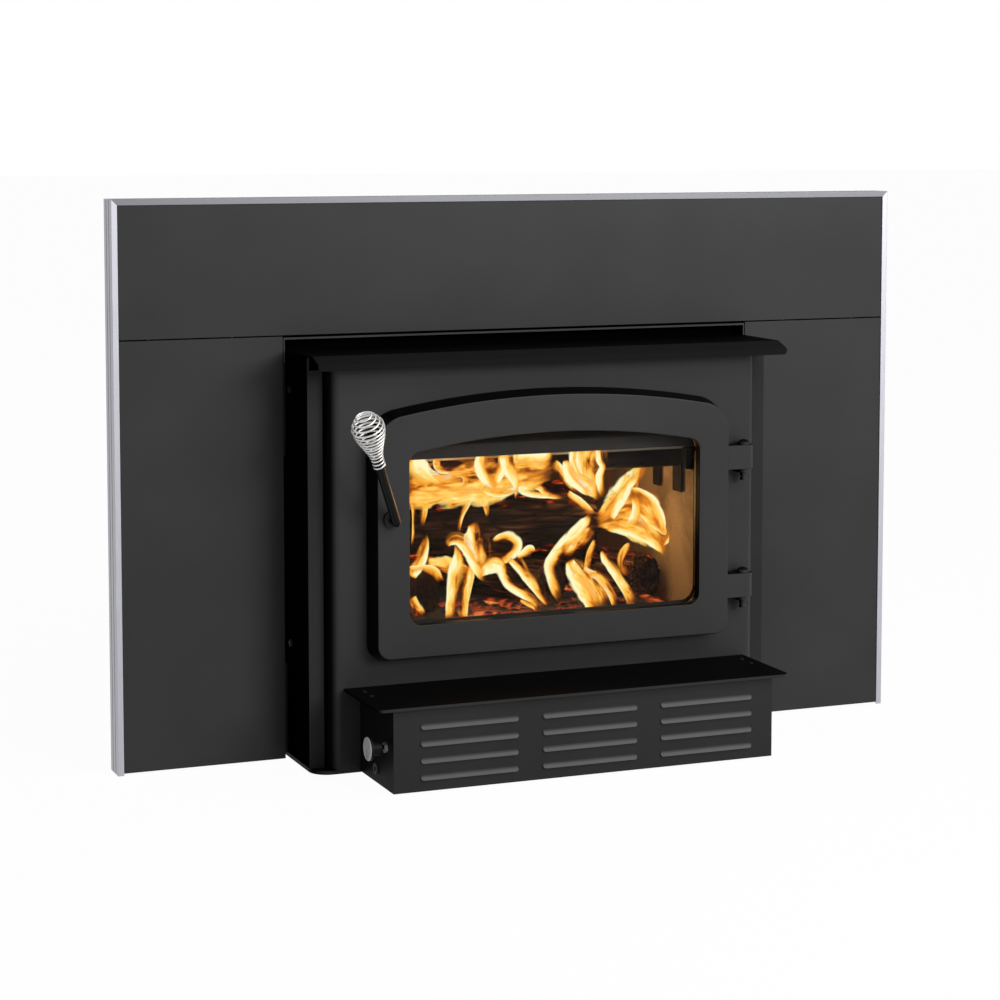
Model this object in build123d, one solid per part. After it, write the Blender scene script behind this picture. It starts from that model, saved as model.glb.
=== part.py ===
from build123d import *

import os
from math import cos, pi, radians, sin, sqrt

# Wood-burning fireplace insert: a steel firebox in a convection casing, with an arched glazed
# door, a blower box across the front and a three-panel faceplate with an edge trim.
# Millimetres. X is to the right, Y into the wall, Z up. Y = 0 is the front of the faceplate
# panels, Z = 0 the underside of the base plate, and X = 0 the middle of the insert.

# ---------------------------------------------------------------- driving dimensions
seat_gap = 0.3                 # between pieces that lie against each other on different bodies
slip_gap = 0.2                 # around pieces that drop into a slot or pocket
running_gap = 0.06             # radial, shaft in bearing

# Faceplate
faceplate_width = 1117.6       # 44 in over the trim
faceplate_height = 736.6       # 29 in
panel_sheet = 1.5
panel_return = 20.0            # depth of the folded edges
panel_lip = 20.0               # inward lip behind the opening's sides
panel_foot_gap = 2.5           # side panels stop above the hearth
panel_seam = 1.8
seam_rise = 21.0               # of the seam over the casing
opening_side_gap = 9.3         # between the casing and the faceplate
header_height = 2.5            # strip across the top of the opening
header_drop = 30.0             # its end tabs
header_side_gap = 1.3
header_lap = 3.5               # of the bar behind the seam, above and below it

# Edge trim
trim_face = 8.0
trim_depth = 38.5
trim_wall = 1.6
trim_lip = 1.3
trim_groove = 0.5
trim_groove_width = 3.0
trim_edge_round = 0.6
corner_key_leg = 60.0
corner_key_width = 5.0
corner_key_thickness = 9.0

# Casing and base
casing_half_width = 325.7
casing_sheet = 2.5
casing_front = -74.0
casing_back = 440.0
casing_top = 537.0
flange_width = 20.0
flange_drop = 18.0             # from the casing's top
base_thickness = 5.0
base_front = -95.0
base_corner = 25.0

# Front plate
front_plate_side_gap = 3.7     # to the casing flanges
front_plate_thickness = 4.0
front_plate_bend = 12.0
front_plate_drop = 17.0        # from the casing's top
front_plate_return_depth = 55.0
fire_opening_side = 6.5        # beyond the window
fire_opening_head = 7.5
fire_opening_sill = 0.5        # above the window's lower edge
fire_opening_corner = 20.0
air_window_half_width = 52.0   # blower outlets through the front plate
air_window_height = 52.0

# Shelf over the door
shelf_overhang = 3.8           # beyond the casing at each side
shelf_thickness = 3.0
shelf_flat_front = -108.5
shelf_front = -133.0
shelf_knee_drop = 9.0
shelf_lip_drop = 14.0          # from the casing's top
shelf_back = 12.0
shelf_corner = 5.0

# Firebox
firebox_side_gap = 55.7        # convection space beside the firebox
firebox_plate = 5.0
firebox_floor = 130.0
firebox_roof_gap = 32.0        # under the casing's top
firebox_back_gap = 100.0
leg_inset = 70.0
leg_width = 40.0
leg_back_inset = 40.0
leg_plate = 6.0

# Flue collar, for a 6 in pipe
flue_pipe_radius = 76.2
flue_fit = 0.4
flue_wall = 4.0
flue_height = 70.0
flue_y = 190.0
flue_stop = 5.0                # ledge under the pipe
flue_casing_gap = 3.0
air_inlet_half_width = 25.0
air_inlet_front = -84.0
air_inlet_back = -70.0

# Bricks
brick_thickness = 31.75
brick_width = 114.3
brick_gap = 0.4
brick_front = -60.0
back_brick_gap = 16.0          # under the baffle
brick_floor_rows = 2

# Baffle and secondary air
tube_radius = 12.7
tube_wall = 1.5
tube_count = 4
tube_first_y = -8.0
tube_pitch = 66.0
tube_hole_radius = 2.5
tube_hole_count = 9
tube_hole_end = 64.0           # from the first hole to the tube's end
tube_drop = 130.0              # of the tubes' axes below the firebox roof
channel_width = 35.0
channel_height = 30.0
channel_sheet = 2.0
channel_front = -30.0
channel_back_gap = 35.0
board_thickness = 12.0
board_front = -22.0
board_gap = 1.0
blanket_thickness = 12.0
bracket_drop = 33.0            # below the channels
bracket_widths = (26.0, 20.0)
bracket_sheet = 3.0

# Air-wash deflector behind the top of the glass
deflector_sheet = 2.5
deflector_front = -84.0
deflector_hang = 40.5          # below the top of the fire opening
deflector_band = 16.5
deflector_slope = 18.0

# Logs: each is centred at its y and turned from the X axis
log_facets = 8
lower_log_radius = 38.0
lower_log_length = 205.0
lower_log_side_gap = 72.0      # from the side bricks to the middle of an outer log
middle_log_x = 12.0
lower_log_y = 120.0
lower_log_turn = (-78.0, -67.0, -72.0)
upper_log_radius = 45.0
upper_log_left_gap = (9.0, 175.0)      # from the side bricks to the ends of each log
upper_log_right_gap = (93.0, 51.0)
upper_log_y = (92.0, 192.0)
upper_log_turn = (-2.0, 5.0)

# Door
door_front = -122.5
door_back = -96.5
door_hinge_gap = 29.5          # from the door's side to the hinge axis, at the front face
door_bottom = 149.0
door_head_gap = 39.0           # under the top of the front plate
door_arch_radius = 1191.0
door_top_corner = 40.0
door_bottom_corner = 18.0
door_draft = 6.5               # growth of the outline from front to back
door_edge_round = 1.5
door_stile = 43.0
door_bottom_rail = 42.0
door_top_rail = 48.5
window_arch_radius = 1059.0
window_corner = 15.0
window_edge_round = 1.0
glass_thickness = 4.0
glass_seat = -110.5
glass_lap = 7.0
glass_gasket_thickness = 1.0
retainer_thickness = 2.5
retainer_outer = 15.0          # beyond the window's outline
retainer_inner = 2.0
retainer_bar_gap = 6.0
retainer_screw_depth = 6.0
retainer_screw_x = 130.0
retainer_screw_rise = (-70.0, 55.0)
rope_width = 7.0
rope_margin = 5.0              # wall outside the rope groove
rope_groove = 8.0

# Hinges
hinge_inset = 24.0             # from the front plate's side
hinge_y = -108.5
hinge_lug_rises = (46.5, 220.5)   # of their undersides over the door's foot
hinge_lug_height = 32.0
hinge_lug_radius = 12.5
tongue_thickness = 5.0
tongue_radius = 10.0
pin_radius = 4.5
pin_head_radius = 9.5
pin_head_height = 6.5
pin_tail = 11.0                # below the tongue
cotter_radius = 1.0
cotter_length = 15.0
cotter_drop = 5.0

# Handle and latch
handle_inset = 19.5            # from the door's side
handle_rise = 181.3            # over the door's foot
boss_radius = 12.0
boss_height = 4.0
shaft_radius = 6.0
collar_radius = 8.0
rod_radius = 6.0
rod_standoff = 13.0            # rod centre line from the door face, at the pivot
rod_side_lean = 0.45           # run to the left for each unit of rise
rod_front_lean = 0.46          # run towards the user for each unit of rise
rod_tail = 9.0
rod_length = 101.0
grip_start = 87.0
grip_length = 86.0
grip_wire = 2.4
grip_turns = 16
grip_neck_radius = 7.3
grip_bulb_radius = 20.6
grip_end_radius = 9.0
grip_neck_end = 0.13           # share of the grip's length
grip_widest = 0.78
grip_band = 0.8
latch_half_height = 8.0
latch_reach = 32.0
latch_thickness = 6.0
latch_gap = 0.5
latch_nut_radius = 9.0
latch_nut_height = 6.0
notch_side_gap = 4.0
notch_top_gap = 3.0

# Primary air control
damper_half_width = 29.0
damper_thickness = 2.0
damper_rest_x = -58.0
damper_margin = 3.0
lever_width = 12.0
lever_thickness = 3.0
lever_gap = 2.0                # over the front plate
lever_end_inset = 7.0          # behind the shelf's lip
guide_width = 8.0
guide_lip = 4.0
guide_half_length = 92.0
guide_sheet = 2.0

# Blower box
blower_inset = 38.0            # from the front plate's side
blower_front = -222.0
blower_bottom = 1.5
blower_sheet = 1.5
blower_flange = 12.0
lid_overhang = 22.0            # beyond the box at each side
lid_nose = 8.0                 # beyond the box at the front
blower_height = 105.5          # without its lid
lid_thickness = 4.0
lid_corner = 9.0
lid_back_gap = 0.5
lid_screw_inset = 17.5
lid_screw_y = (-126.0, -153.0)
louvre_length = 131.0
louvre_height = 7.0
louvre_pitch_x = 165.0
louvre_pitch_z = 21.5
louvre_centre_x = 2.5
louvre_centre_z = 51.5
louvre_columns = 3
louvre_rows = 4
louvre_reach = 3.2
louvre_skin = 1.2

# Fan
fan_y = -165.0
fan_z = 54.0
fan_wheel_radius = 35.0
fan_wheel_inner = 28.0
fan_wheel_length = 84.0
fan_wheel_centre = 118.0
fan_blades = 18
fan_blade_sheet = 1.0
fan_plate = 2.0
fan_hub_radius = 8.0
fan_shaft_radius = 4.0
fan_shaft_half_length = 166.0
scroll_radius = 44.0
scroll_sheet = 1.5
scroll_half_length = 48.0
scroll_eye_radius = 27.0
motor_radius = 32.0
motor_half_length = 52.0
motor_end_radius = 14.0
motor_end_length = 8.0
cradle_sheet = 2.0
cradle_half_length = 30.0
cradle_half_width = 36.0

# Speed control and cord inlet
knob_y = -196.0
knob_z = 55.5
knob_disc_radius = 15.0
knob_disc_thickness = 5.0
knob_barrel_radius = 9.5
knob_barrel_length = 12.0
knob_reach = 26.0              # face of the knob from the box side
knob_pointer_width = 2.0
knob_pointer_depth = 0.6
control_shaft_radius = 3.0
control_bush_radius = 4.8
control_nut_radius = 7.0
control_nut_height = 3.0
control_body_radius = 13.0
control_body_length = 14.0
grommet_y = -156.5
grommet_z = 19.0
grommet_radius = 5.0
grommet_flange_radius = 7.0
grommet_bore = 3.5
grommet_flange = 2.0

# Fasteners
cut_past = 1.0                 # how far a cut runs past the face that it opens
screw_radius = 2.4
screw_hole_gap = 0.1
screw_head_radius = 4.8
screw_head_height = 3.0
retainer_screw_head_radius = 3.6
retainer_screw_head_height = 1.8
lid_screw_head_radius = 3.0
lid_screw_head_height = 1.6
bracket_thickness = 2.0
bracket_casing_leg = 40.0
bracket_height = 120.0
bracket_upper_drop = 17.0      # of the upper pair below the casing's top
bracket_screw_inset = 25.0
spacer_radius = 7.0
spacer_inset = (25.0, 17.0)    # from the firebox's floor and from its roof
spacer_y = 0.0
seam_screw_inset = (65.0, 175.0)   # from the side of the opening
seam_screw_y = 12.0

# ---------------------------------------------------------------- derived places
trim_front = -(trim_lip + slip_gap)
trim_back = trim_front + trim_depth
rib_front = panel_return + slip_gap
panel_edge_x = faceplate_width / 2 - trim_wall - slip_gap
panel_edge_z = faceplate_height - trim_wall - slip_gap
opening_half_width = casing_half_width + opening_side_gap
seam_height = casing_top + seam_rise
side_panel_top = seam_height - panel_seam / 2
upper_panel_bottom = seam_height + panel_seam / 2
opening_top = side_panel_top - panel_sheet
header_back = panel_return + slip_gap + panel_sheet
header_bar_reach = faceplate_width / 2 - trim_face - slip_gap
seam_screw_x = [opening_half_width + inset for inset in seam_screw_inset]

casing_inner = casing_half_width - casing_sheet
casing_roof_under = casing_top - casing_sheet
flange_top = casing_top - flange_drop
shelf_half_width = casing_half_width + shelf_overhang
shelf_lip_bottom = casing_top - shelf_lip_drop
front_plate_half_width = casing_half_width - flange_width - front_plate_side_gap
front_plate_top = casing_top - front_plate_drop
front_plate_front = base_front
front_plate_back = front_plate_front + front_plate_thickness
front_plate_return = front_plate_front + front_plate_return_depth

firebox_half_width = casing_half_width - firebox_side_gap
firebox_roof = casing_top - firebox_roof_gap
firebox_back = casing_back - firebox_back_gap
firebox_inner = firebox_half_width - firebox_plate
firebox_floor_top = firebox_floor + firebox_plate
firebox_roof_under = firebox_roof - firebox_plate
firebox_rear_inner = firebox_back - firebox_plate
leg_half_spacing = firebox_half_width - leg_inset
leg_back = firebox_back - leg_back_inset
flue_radius = flue_pipe_radius + flue_fit
brick_floor_top = firebox_floor_top + brick_thickness
brick_side_inner = firebox_inner - brick_thickness
brick_back_front = firebox_rear_inner - brick_thickness

tube_height = firebox_roof - tube_drop
board_bottom = tube_height + tube_radius + seat_gap
channel_inner = firebox_inner - channel_width
channel_bottom = tube_height - channel_height / 2
channel_back = firebox_rear_inner - channel_back_gap
bracket_bottom = channel_bottom - bracket_drop
back_brick_top = board_bottom - back_brick_gap

hinge_x = front_plate_half_width - hinge_inset
door_half_width = hinge_x - door_hinge_gap
door_crown = front_plate_top - door_head_gap
window_half_width = door_half_width - door_stile
window_bottom = door_bottom + door_bottom_rail
window_crown = door_crown - door_top_rail
fire_opening_half_width = window_half_width + fire_opening_side
fire_opening_bottom = window_bottom + fire_opening_sill
fire_opening_top = window_crown + fire_opening_head
deflector_bottom = fire_opening_top - deflector_hang
glass_front = glass_seat + glass_gasket_thickness
glass_rear = glass_front + glass_thickness
retainer_rear = glass_rear + retainer_thickness
hinge_lug_bottoms = [door_bottom + rise for rise in hinge_lug_rises]
pin_bottoms = [low - seat_gap - tongue_thickness - pin_tail for low in hinge_lug_bottoms]

handle_x = handle_inset - door_half_width
handle_z = door_bottom + handle_rise
rod_y = door_front - rod_standoff
latch_front = front_plate_back + latch_gap
latch_rear = latch_front + latch_thickness
notch_left = handle_x - collar_radius - notch_side_gap
notch_top = handle_z + latch_reach + notch_top_gap
notch_bottom = handle_z - collar_radius - notch_side_gap
lever_height = front_plate_top + lever_gap
lever_end = shelf_front + lever_end_inset

blower_half_width = front_plate_half_width - blower_inset
lid_half_width = blower_half_width + lid_overhang
lid_front = blower_front - lid_nose
lid_bottom = blower_bottom + blower_height
lid_top = lid_bottom + lid_thickness
lid_screw_x = lid_half_width - lid_screw_inset

hole_radius = screw_radius + screw_hole_gap
bracket_upper_top = casing_top - bracket_upper_drop
bracket_heights = ((base_thickness, base_thickness + bracket_height),
                   (bracket_upper_top - bracket_height, bracket_upper_top))
spacer_heights = (firebox_floor + spacer_inset[0], firebox_roof - spacer_inset[1])


# ---------------------------------------------------------------- helpers
def span(x, y, z):
    """A block between the given low and high values on each axis."""
    size = (x[1] - x[0], y[1] - y[0], z[1] - z[0])
    middle = ((x[0] + x[1]) / 2, (y[0] + y[1]) / 2, (z[0] + z[1]) / 2)
    return Pos(*middle) * Box(*size)


def rod_between(start, end, radius):
    """A round bar between two points."""
    start, end = Vector(*start), Vector(*end)
    along = end - start
    section = Plane(origin=start, z_dir=along) * Circle(radius)
    return extrude(section, amount=along.length)


def upright(sketch, front, back):
    """Extrude a sketch of X and Z between two depths."""
    return extrude(Plane.XZ.offset(-back) * sketch, amount=back - front)


def lengthwise(sketch, left, right):
    """Extrude a sketch of Y and Z between two X values."""
    return extrude(Plane.YZ.offset(left) * sketch, amount=right - left)


def level(sketch, low, high):
    """Extrude a sketch of X and Y between two heights."""
    return extrude(Plane.XY.offset(low) * sketch, amount=high - low)


def mirrored(shape):
    """The same piece on the other side of the insert."""
    return mirror(shape, about=Plane.YZ)


def both_sides(shape):
    """A piece and its mirror image, as separate solids."""
    return Compound(children=[shape, mirrored(shape)])


def group(pieces):
    """Separate solids that share one node."""
    return Compound(children=list(pieces))


def folded_strip(points, thickness):
    """Section of a folded sheet whose outer face runs through the points, going clockwise."""
    normals = []
    for (x0, y0), (x1, y1) in zip(points, points[1:]):
        run = sqrt((x1 - x0) ** 2 + (y1 - y0) ** 2)
        normals.append(Vector((y1 - y0) / run, (x0 - x1) / run))
    inner = []
    for index, (x, y) in enumerate(points):
        beside = normals[max(index - 1, 0)] + normals[min(index, len(normals) - 1)]
        inward = beside * (2 * thickness / beside.dot(beside))
        inner.append((x + inward.X, y + inward.Y))
    return make_face(Polyline(*points, *reversed(inner), close=True))


def arched_outline(grow, half_width, bottom, crown, arch_radius, top_corner, bottom_corner):
    """A door-shaped outline with a low arched top, grown outwards by a margin."""
    half_width += grow
    bottom -= grow
    crown += grow
    arch_radius += grow
    spring = crown - arch_radius + sqrt(arch_radius ** 2 - half_width ** 2)
    outline = Polyline((-half_width, spring), (-half_width, bottom),
                       (half_width, bottom), (half_width, spring))
    outline += ThreePointArc((half_width, spring), (0, crown), (-half_width, spring))
    face = make_face(outline)
    lower = face.vertices().sort_by(Axis.Y)[:2]
    face = fillet(lower, bottom_corner + grow)
    upper = [v for v in face.vertices() if abs(abs(v.X) - half_width) < 0.01 and abs(v.Y - spring) < 0.01]
    return fillet(upper, top_corner + grow)


def door_outline(grow):
    return arched_outline(grow, door_half_width, door_bottom, door_crown, door_arch_radius,
                          door_top_corner, door_bottom_corner)


def window_outline(grow):
    return arched_outline(grow, window_half_width, window_bottom, window_crown, window_arch_radius,
                          window_corner, window_corner)


def screw(head_radius, head_height, shank_length):
    """A pan-head screw along +Z, its head's underside at Z = 0 and its shank below."""
    head = Cylinder(head_radius, head_height, align=(Align.CENTER, Align.CENTER, Align.MIN))
    head = fillet(head.edges().group_by(Axis.Z)[-1], head_height * 0.45)
    shank = Cylinder(screw_radius, shank_length, align=(Align.CENTER, Align.CENTER, Align.MAX))
    return head + shank


def facing(point, direction):
    """A placement whose Z runs along the direction."""
    return Plane(origin=point, z_dir=direction)


# ---------------------------------------------------------------- faceplate
def folded_panel(left, right, low, high):
    """A sheet panel with its four edges folded back."""
    outer = span((left, right), (0, panel_return), (low, high))
    inner = span((left + panel_sheet, right - panel_sheet), (panel_sheet, panel_return + cut_past),
                 (low + panel_sheet, high - panel_sheet))
    return outer - inner


def seam_hole(x):
    length = 4 * panel_sheet + panel_seam + 2 * header_height
    return Pos(x, seam_screw_y, seam_height) * Cylinder(hole_radius, length)


def bracket_screw_heights():
    return [height for low, high in bracket_heights
            for height in (low + bracket_screw_inset, high - bracket_screw_inset)]


def lip_screw_x():
    return opening_half_width + panel_lip * 0.45


def faceplate_right():
    panel = folded_panel(opening_half_width, panel_edge_x, panel_foot_gap, side_panel_top)
    panel += span((opening_half_width, opening_half_width + panel_lip),
                  (panel_return - panel_sheet, panel_return), (panel_foot_gap, side_panel_top))
    for x in seam_screw_x:
        panel -= seam_hole(x)
    for height in bracket_screw_heights():
        place = facing((lip_screw_x(), panel_return, height), (0, 1, 0))
        panel -= place * Cylinder(hole_radius, 6 * panel_sheet)
    return panel


def faceplate_top():
    panel = folded_panel(-panel_edge_x, panel_edge_x, upper_panel_bottom, panel_edge_z)
    for x in seam_screw_x:
        panel -= seam_hole(x) + seam_hole(-x)
    return panel


def opening_header():
    """The strip across the top of the opening and its tabs, with the wall and bar that close it behind."""
    reach = opening_half_width - header_side_gap
    strip = span((-reach, reach), (seat_gap, header_back), (opening_top - header_height, opening_top))
    tab = span((reach - panel_sheet, reach), (seat_gap, header_back),
               (opening_top - header_height - header_drop, opening_top - header_height))
    behind = (header_back - panel_sheet, header_back)
    wall = span((-reach, reach), behind, (casing_top + slip_gap, opening_top))
    bar = span((-header_bar_reach, header_bar_reach), behind,
               (side_panel_top - header_lap, upper_panel_bottom + header_lap))
    return strip + tab + mirrored(tab) + wall + bar


def trim_section():
    """The trim's profile: across from its outer edge, and back from its front face."""
    wall = Pos(trim_wall / 2, trim_front + trim_depth / 2) * Rectangle(trim_wall, trim_depth)
    section = wall
    for low, high in ((trim_front, trim_front + trim_lip), (rib_front, rib_front + trim_lip),
                      (trim_back - trim_lip, trim_back)):
        section += Pos(trim_face / 2, (low + high) / 2) * Rectangle(trim_face, high - low)
    for fraction in (0.33, 0.67):
        groove = Rectangle(2 * trim_groove, trim_groove_width)
        section -= Pos(0, trim_front + trim_depth * fraction) * groove
    front_corners = section.vertices().group_by(Axis.Y)[0]
    return fillet(front_corners, trim_edge_round)


def trim_bar(length):
    """A straight trim bar along +Z, its outer edge at X = 0 and its lip towards +X."""
    return extrude(Plane.XY * trim_section(), amount=length)


def mitre_wedge(side):
    """The space above (side 1) or below (side -1) the mitre plane at the upper left corner."""
    far = 2 * trim_face
    x, z = -faceplate_width / 2, faceplate_height
    outline = Polyline((x - far, z + far), (x + far, z - far), (x + side * far, z + side * far), close=True)
    return upright(make_face(outline), trim_front - cut_past, trim_back + cut_past)


def trim_left():
    bar = Pos(-faceplate_width / 2, 0, 0) * trim_bar(faceplate_height)
    return bar - mitre_wedge(1)


def trim_top():
    corner = (-faceplate_width / 2, 0, faceplate_height)
    bar = Plane(origin=corner, x_dir=(0, 0, -1), z_dir=(1, 0, 0)) * trim_bar(faceplate_width)
    return bar - mitre_wedge(-1) - mirrored(mitre_wedge(-1))


def trim_corner_keys():
    """Flat L-shaped keys in the rear channel of the two mitred corners."""
    edge = trim_wall + slip_gap
    middle = (rib_front + trim_lip + trim_back - trim_lip) / 2
    depth = (middle - corner_key_thickness / 2, middle + corner_key_thickness / 2)
    left = -faceplate_width / 2 + edge
    top = faceplate_height - edge
    upright_leg = span((left, left + corner_key_width), depth, (top - corner_key_leg, top))
    level_leg = span((left, left + corner_key_leg), depth, (top - corner_key_width, top))
    return both_sides(upright_leg + level_leg)


def faceplate_brackets():
    """Angles between the casing's sides and the lips of the side panels."""
    pieces = []
    for low, high in bracket_heights:
        casing_leg = span((casing_half_width, casing_half_width + bracket_thickness),
                          (panel_return, panel_return + bracket_casing_leg), (low, high))
        panel_leg = span((casing_half_width, opening_half_width + panel_lip - panel_sheet * 2),
                         (panel_return, panel_return + bracket_thickness), (low, high))
        bracket = casing_leg + panel_leg
        for height in (low + bracket_screw_inset, high - bracket_screw_inset):
            bracket -= facing((lip_screw_x(), panel_return, height), (0, 1, 0)) * Cylinder(
                hole_radius, 6 * bracket_thickness)
            bracket -= bracket_casing_hole(height)
        pieces += [bracket, mirrored(bracket)]
    return group(pieces)


def bracket_casing_hole(height):
    middle = panel_return + bracket_casing_leg * 0.65
    place = facing((casing_half_width, middle, height), (1, 0, 0))
    return place * Cylinder(hole_radius, 6 * casing_sheet)


def faceplate_screws():
    """Screws through the brackets into the panel lips, and through the seam between panels."""
    pieces = []
    for height in bracket_screw_heights():
        place = facing((lip_screw_x(), panel_return + bracket_thickness, height), (0, 1, 0))
        reach = bracket_thickness + 2 * panel_sheet
        pieces.append(place * screw(screw_head_radius, screw_head_height, reach))
    for x in seam_screw_x:
        place = facing((x, seam_screw_y, side_panel_top - panel_sheet), (0, 0, -1))
        pieces.append(place * screw(screw_head_radius, screw_head_height, 4 * panel_sheet + panel_seam))
    return group(pieces + [mirrored(piece) for piece in pieces])


# ---------------------------------------------------------------- casing
def base_plate():
    half = casing_half_width
    outline = Pos(0, (base_front + casing_back) / 2) * Rectangle(2 * half, casing_back - base_front)
    outline = fillet(outline.vertices().group_by(Axis.Y)[0], base_corner)
    return level(outline, 0, base_thickness)


def casing_right():
    """A side wall with its front flange folded inwards."""
    wall = span((casing_inner, casing_half_width), (casing_front, casing_back),
                (base_thickness, casing_roof_under))
    flange = span((casing_half_width - flange_width, casing_half_width),
                  (casing_front, casing_front + casing_sheet), (base_thickness, flange_top))
    side = wall + flange
    for height in bracket_screw_heights():
        side -= bracket_casing_hole(height)
    for height in spacer_heights:
        place = facing((casing_half_width, spacer_y, height), (1, 0, 0))
        side -= place * Cylinder(hole_radius, 4 * casing_sheet)
    return side


def casing_back_sheet():
    return span((-casing_inner, casing_inner), (casing_back - casing_sheet, casing_back),
                (base_thickness, casing_roof_under))


def casing_roof():
    sheet = span((-casing_half_width, casing_half_width), (casing_front, casing_back),
                 (casing_roof_under, casing_top))
    clear = flue_radius + flue_wall + flue_casing_gap
    return sheet - Pos(0, flue_y, casing_top) * Cylinder(clear, 4 * casing_sheet)


def casing_spacers():
    """Tubes that hold the side walls off the firebox."""
    pieces = []
    for height in spacer_heights:
        start = (firebox_half_width, spacer_y, height)
        end = (casing_inner, spacer_y, height)
        pieces.append(rod_between(start, end, spacer_radius) - rod_between(start, end, hole_radius))
    return group(pieces + [mirrored(piece) for piece in pieces])


def casing_screws():
    pieces = []
    middle = panel_return + bracket_casing_leg * 0.65
    for height in bracket_screw_heights():
        place = facing((casing_half_width + bracket_thickness, middle, height), (1, 0, 0))
        reach = bracket_thickness + 3 * casing_sheet
        pieces.append(place * screw(screw_head_radius, screw_head_height, reach))
    for height in spacer_heights:
        place = facing((casing_half_width, spacer_y, height), (1, 0, 0))
        reach = casing_half_width - firebox_half_width - firebox_plate
        pieces.append(place * screw(screw_head_radius, screw_head_height, reach))
    return group(pieces + [mirrored(piece) for piece in pieces])


def shelf():
    """The folded ledge over the door: flat top, sloping facet and short lip."""
    knee = casing_top + shelf_thickness - shelf_knee_drop
    profile = folded_strip([(shelf_front, shelf_lip_bottom), (shelf_front, knee),
                            (shelf_flat_front, casing_top + shelf_thickness),
                            (shelf_back, casing_top + shelf_thickness)], shelf_thickness)
    ledge = lengthwise(profile, -shelf_half_width, shelf_half_width)
    corners = [edge for edge in ledge.edges().filter_by(Axis.Y)
               if edge.length < 2 * shelf_thickness and abs(edge.center().Z - shelf_lip_bottom) < 0.01]
    return fillet(corners, shelf_corner)


# ---------------------------------------------------------------- front plate and firebox
def front_plate():
    """The stove front: side edges bent back, fire opening, latch notch and blower outlets."""
    half = front_plate_half_width
    back = front_plate_return
    outer = Pos(0, (front_plate_front + back) / 2) * Rectangle(2 * half, back - front_plate_front)
    outer = fillet(outer.vertices().group_by(Axis.Y)[0], front_plate_bend)
    inner_half = half - front_plate_thickness
    inner = Pos(0, (front_plate_back + back) / 2) * Rectangle(2 * inner_half, back - front_plate_back)
    inner = fillet(inner.vertices().group_by(Axis.Y)[0], front_plate_bend - front_plate_thickness)
    plate = level(outer - inner, base_thickness, front_plate_top)
    height = fire_opening_top - fire_opening_bottom
    opening = Pos(0, (fire_opening_top + fire_opening_bottom) / 2) * RectangleRounded(
        2 * fire_opening_half_width, height, fire_opening_corner)
    plate -= upright(opening, front_plate_front - cut_past, front_plate_back + cut_past)
    through = (front_plate_front - cut_past, front_plate_back + cut_past)
    plate -= span((notch_left, -fire_opening_half_width + cut_past), through, (notch_bottom, notch_top))
    for side in (-1, 1):
        centre = side * fan_wheel_centre
        plate -= span((centre - air_window_half_width, centre + air_window_half_width), through,
                      (fan_z + scroll_radius - air_window_height, fan_z + scroll_radius))
    return plate


def firebox_floor_plate():
    return span((-firebox_half_width, firebox_half_width), (front_plate_back, firebox_back),
                (firebox_floor, firebox_floor_top))


def firebox_right():
    return span((firebox_inner, firebox_half_width), (front_plate_back, firebox_back),
                (firebox_floor_top, firebox_roof_under))


def firebox_back_plate():
    return span((-firebox_inner, firebox_inner), (firebox_rear_inner, firebox_back),
                (firebox_floor_top, firebox_roof_under))


def firebox_roof_plate():
    plate = span((-firebox_half_width, firebox_half_width), (front_plate_back, firebox_back),
                 (firebox_roof_under, firebox_roof))
    plate -= Pos(0, flue_y, firebox_roof) * Cylinder(flue_radius - flue_stop, 4 * firebox_plate)
    plate -= span((-air_inlet_half_width, air_inlet_half_width), (air_inlet_front, air_inlet_back),
                  (firebox_roof_under - cut_past, firebox_roof + cut_past))
    return plate


def firebox_legs():
    leg = span((leg_half_spacing - leg_width / 2, leg_half_spacing + leg_width / 2),
               (leg_back - leg_plate, leg_back), (base_thickness, firebox_floor))
    rib = span((leg_half_spacing - leg_plate / 2, leg_half_spacing + leg_plate / 2),
               (leg_back - leg_plate - leg_width, leg_back - leg_plate), (base_thickness, firebox_floor))
    return both_sides(leg + rib)


def flue_collar():
    place = Pos(0, flue_y, firebox_roof + flue_height / 2)
    collar = Cylinder(flue_radius + flue_wall, flue_height) - Cylinder(flue_radius, flue_height)
    return place * collar


def brick_row(low, high, count):
    """Ends of equal bricks with a joint between neighbours."""
    width = (high - low) / count
    return [(low + index * width + brick_gap / 2, low + (index + 1) * width - brick_gap / 2)
            for index in range(count)]


def bricks_needed(length):
    return max(1, round(length / brick_width))


def firebricks_floor():
    across = brick_row(-brick_side_inner, brick_side_inner, bricks_needed(2 * brick_side_inner))
    along = brick_row(brick_front, brick_back_front, brick_floor_rows)
    return group(span(x, y, (firebox_floor_top, brick_floor_top)) for x in across for y in along)


def firebricks_walls():
    """Standing bricks: both sides up to the air channels, and the back."""
    side_count = bricks_needed(brick_back_front - brick_front) + 1
    sides = [span((brick_side_inner, firebox_inner), y, (firebox_floor_top, channel_bottom))
             for y in brick_row(brick_front, brick_back_front, side_count)]
    back_count = bricks_needed(2 * firebox_inner)
    back = [span(x, (brick_back_front, firebox_rear_inner), (firebox_floor_top, back_brick_top))
            for x in brick_row(-firebox_inner, firebox_inner, back_count)]
    return group(sides + [mirrored(brick) for brick in sides] + back)


# ---------------------------------------------------------------- baffle and secondary air
def tube_places():
    return [tube_first_y + index * tube_pitch for index in range(tube_count)]


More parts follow.
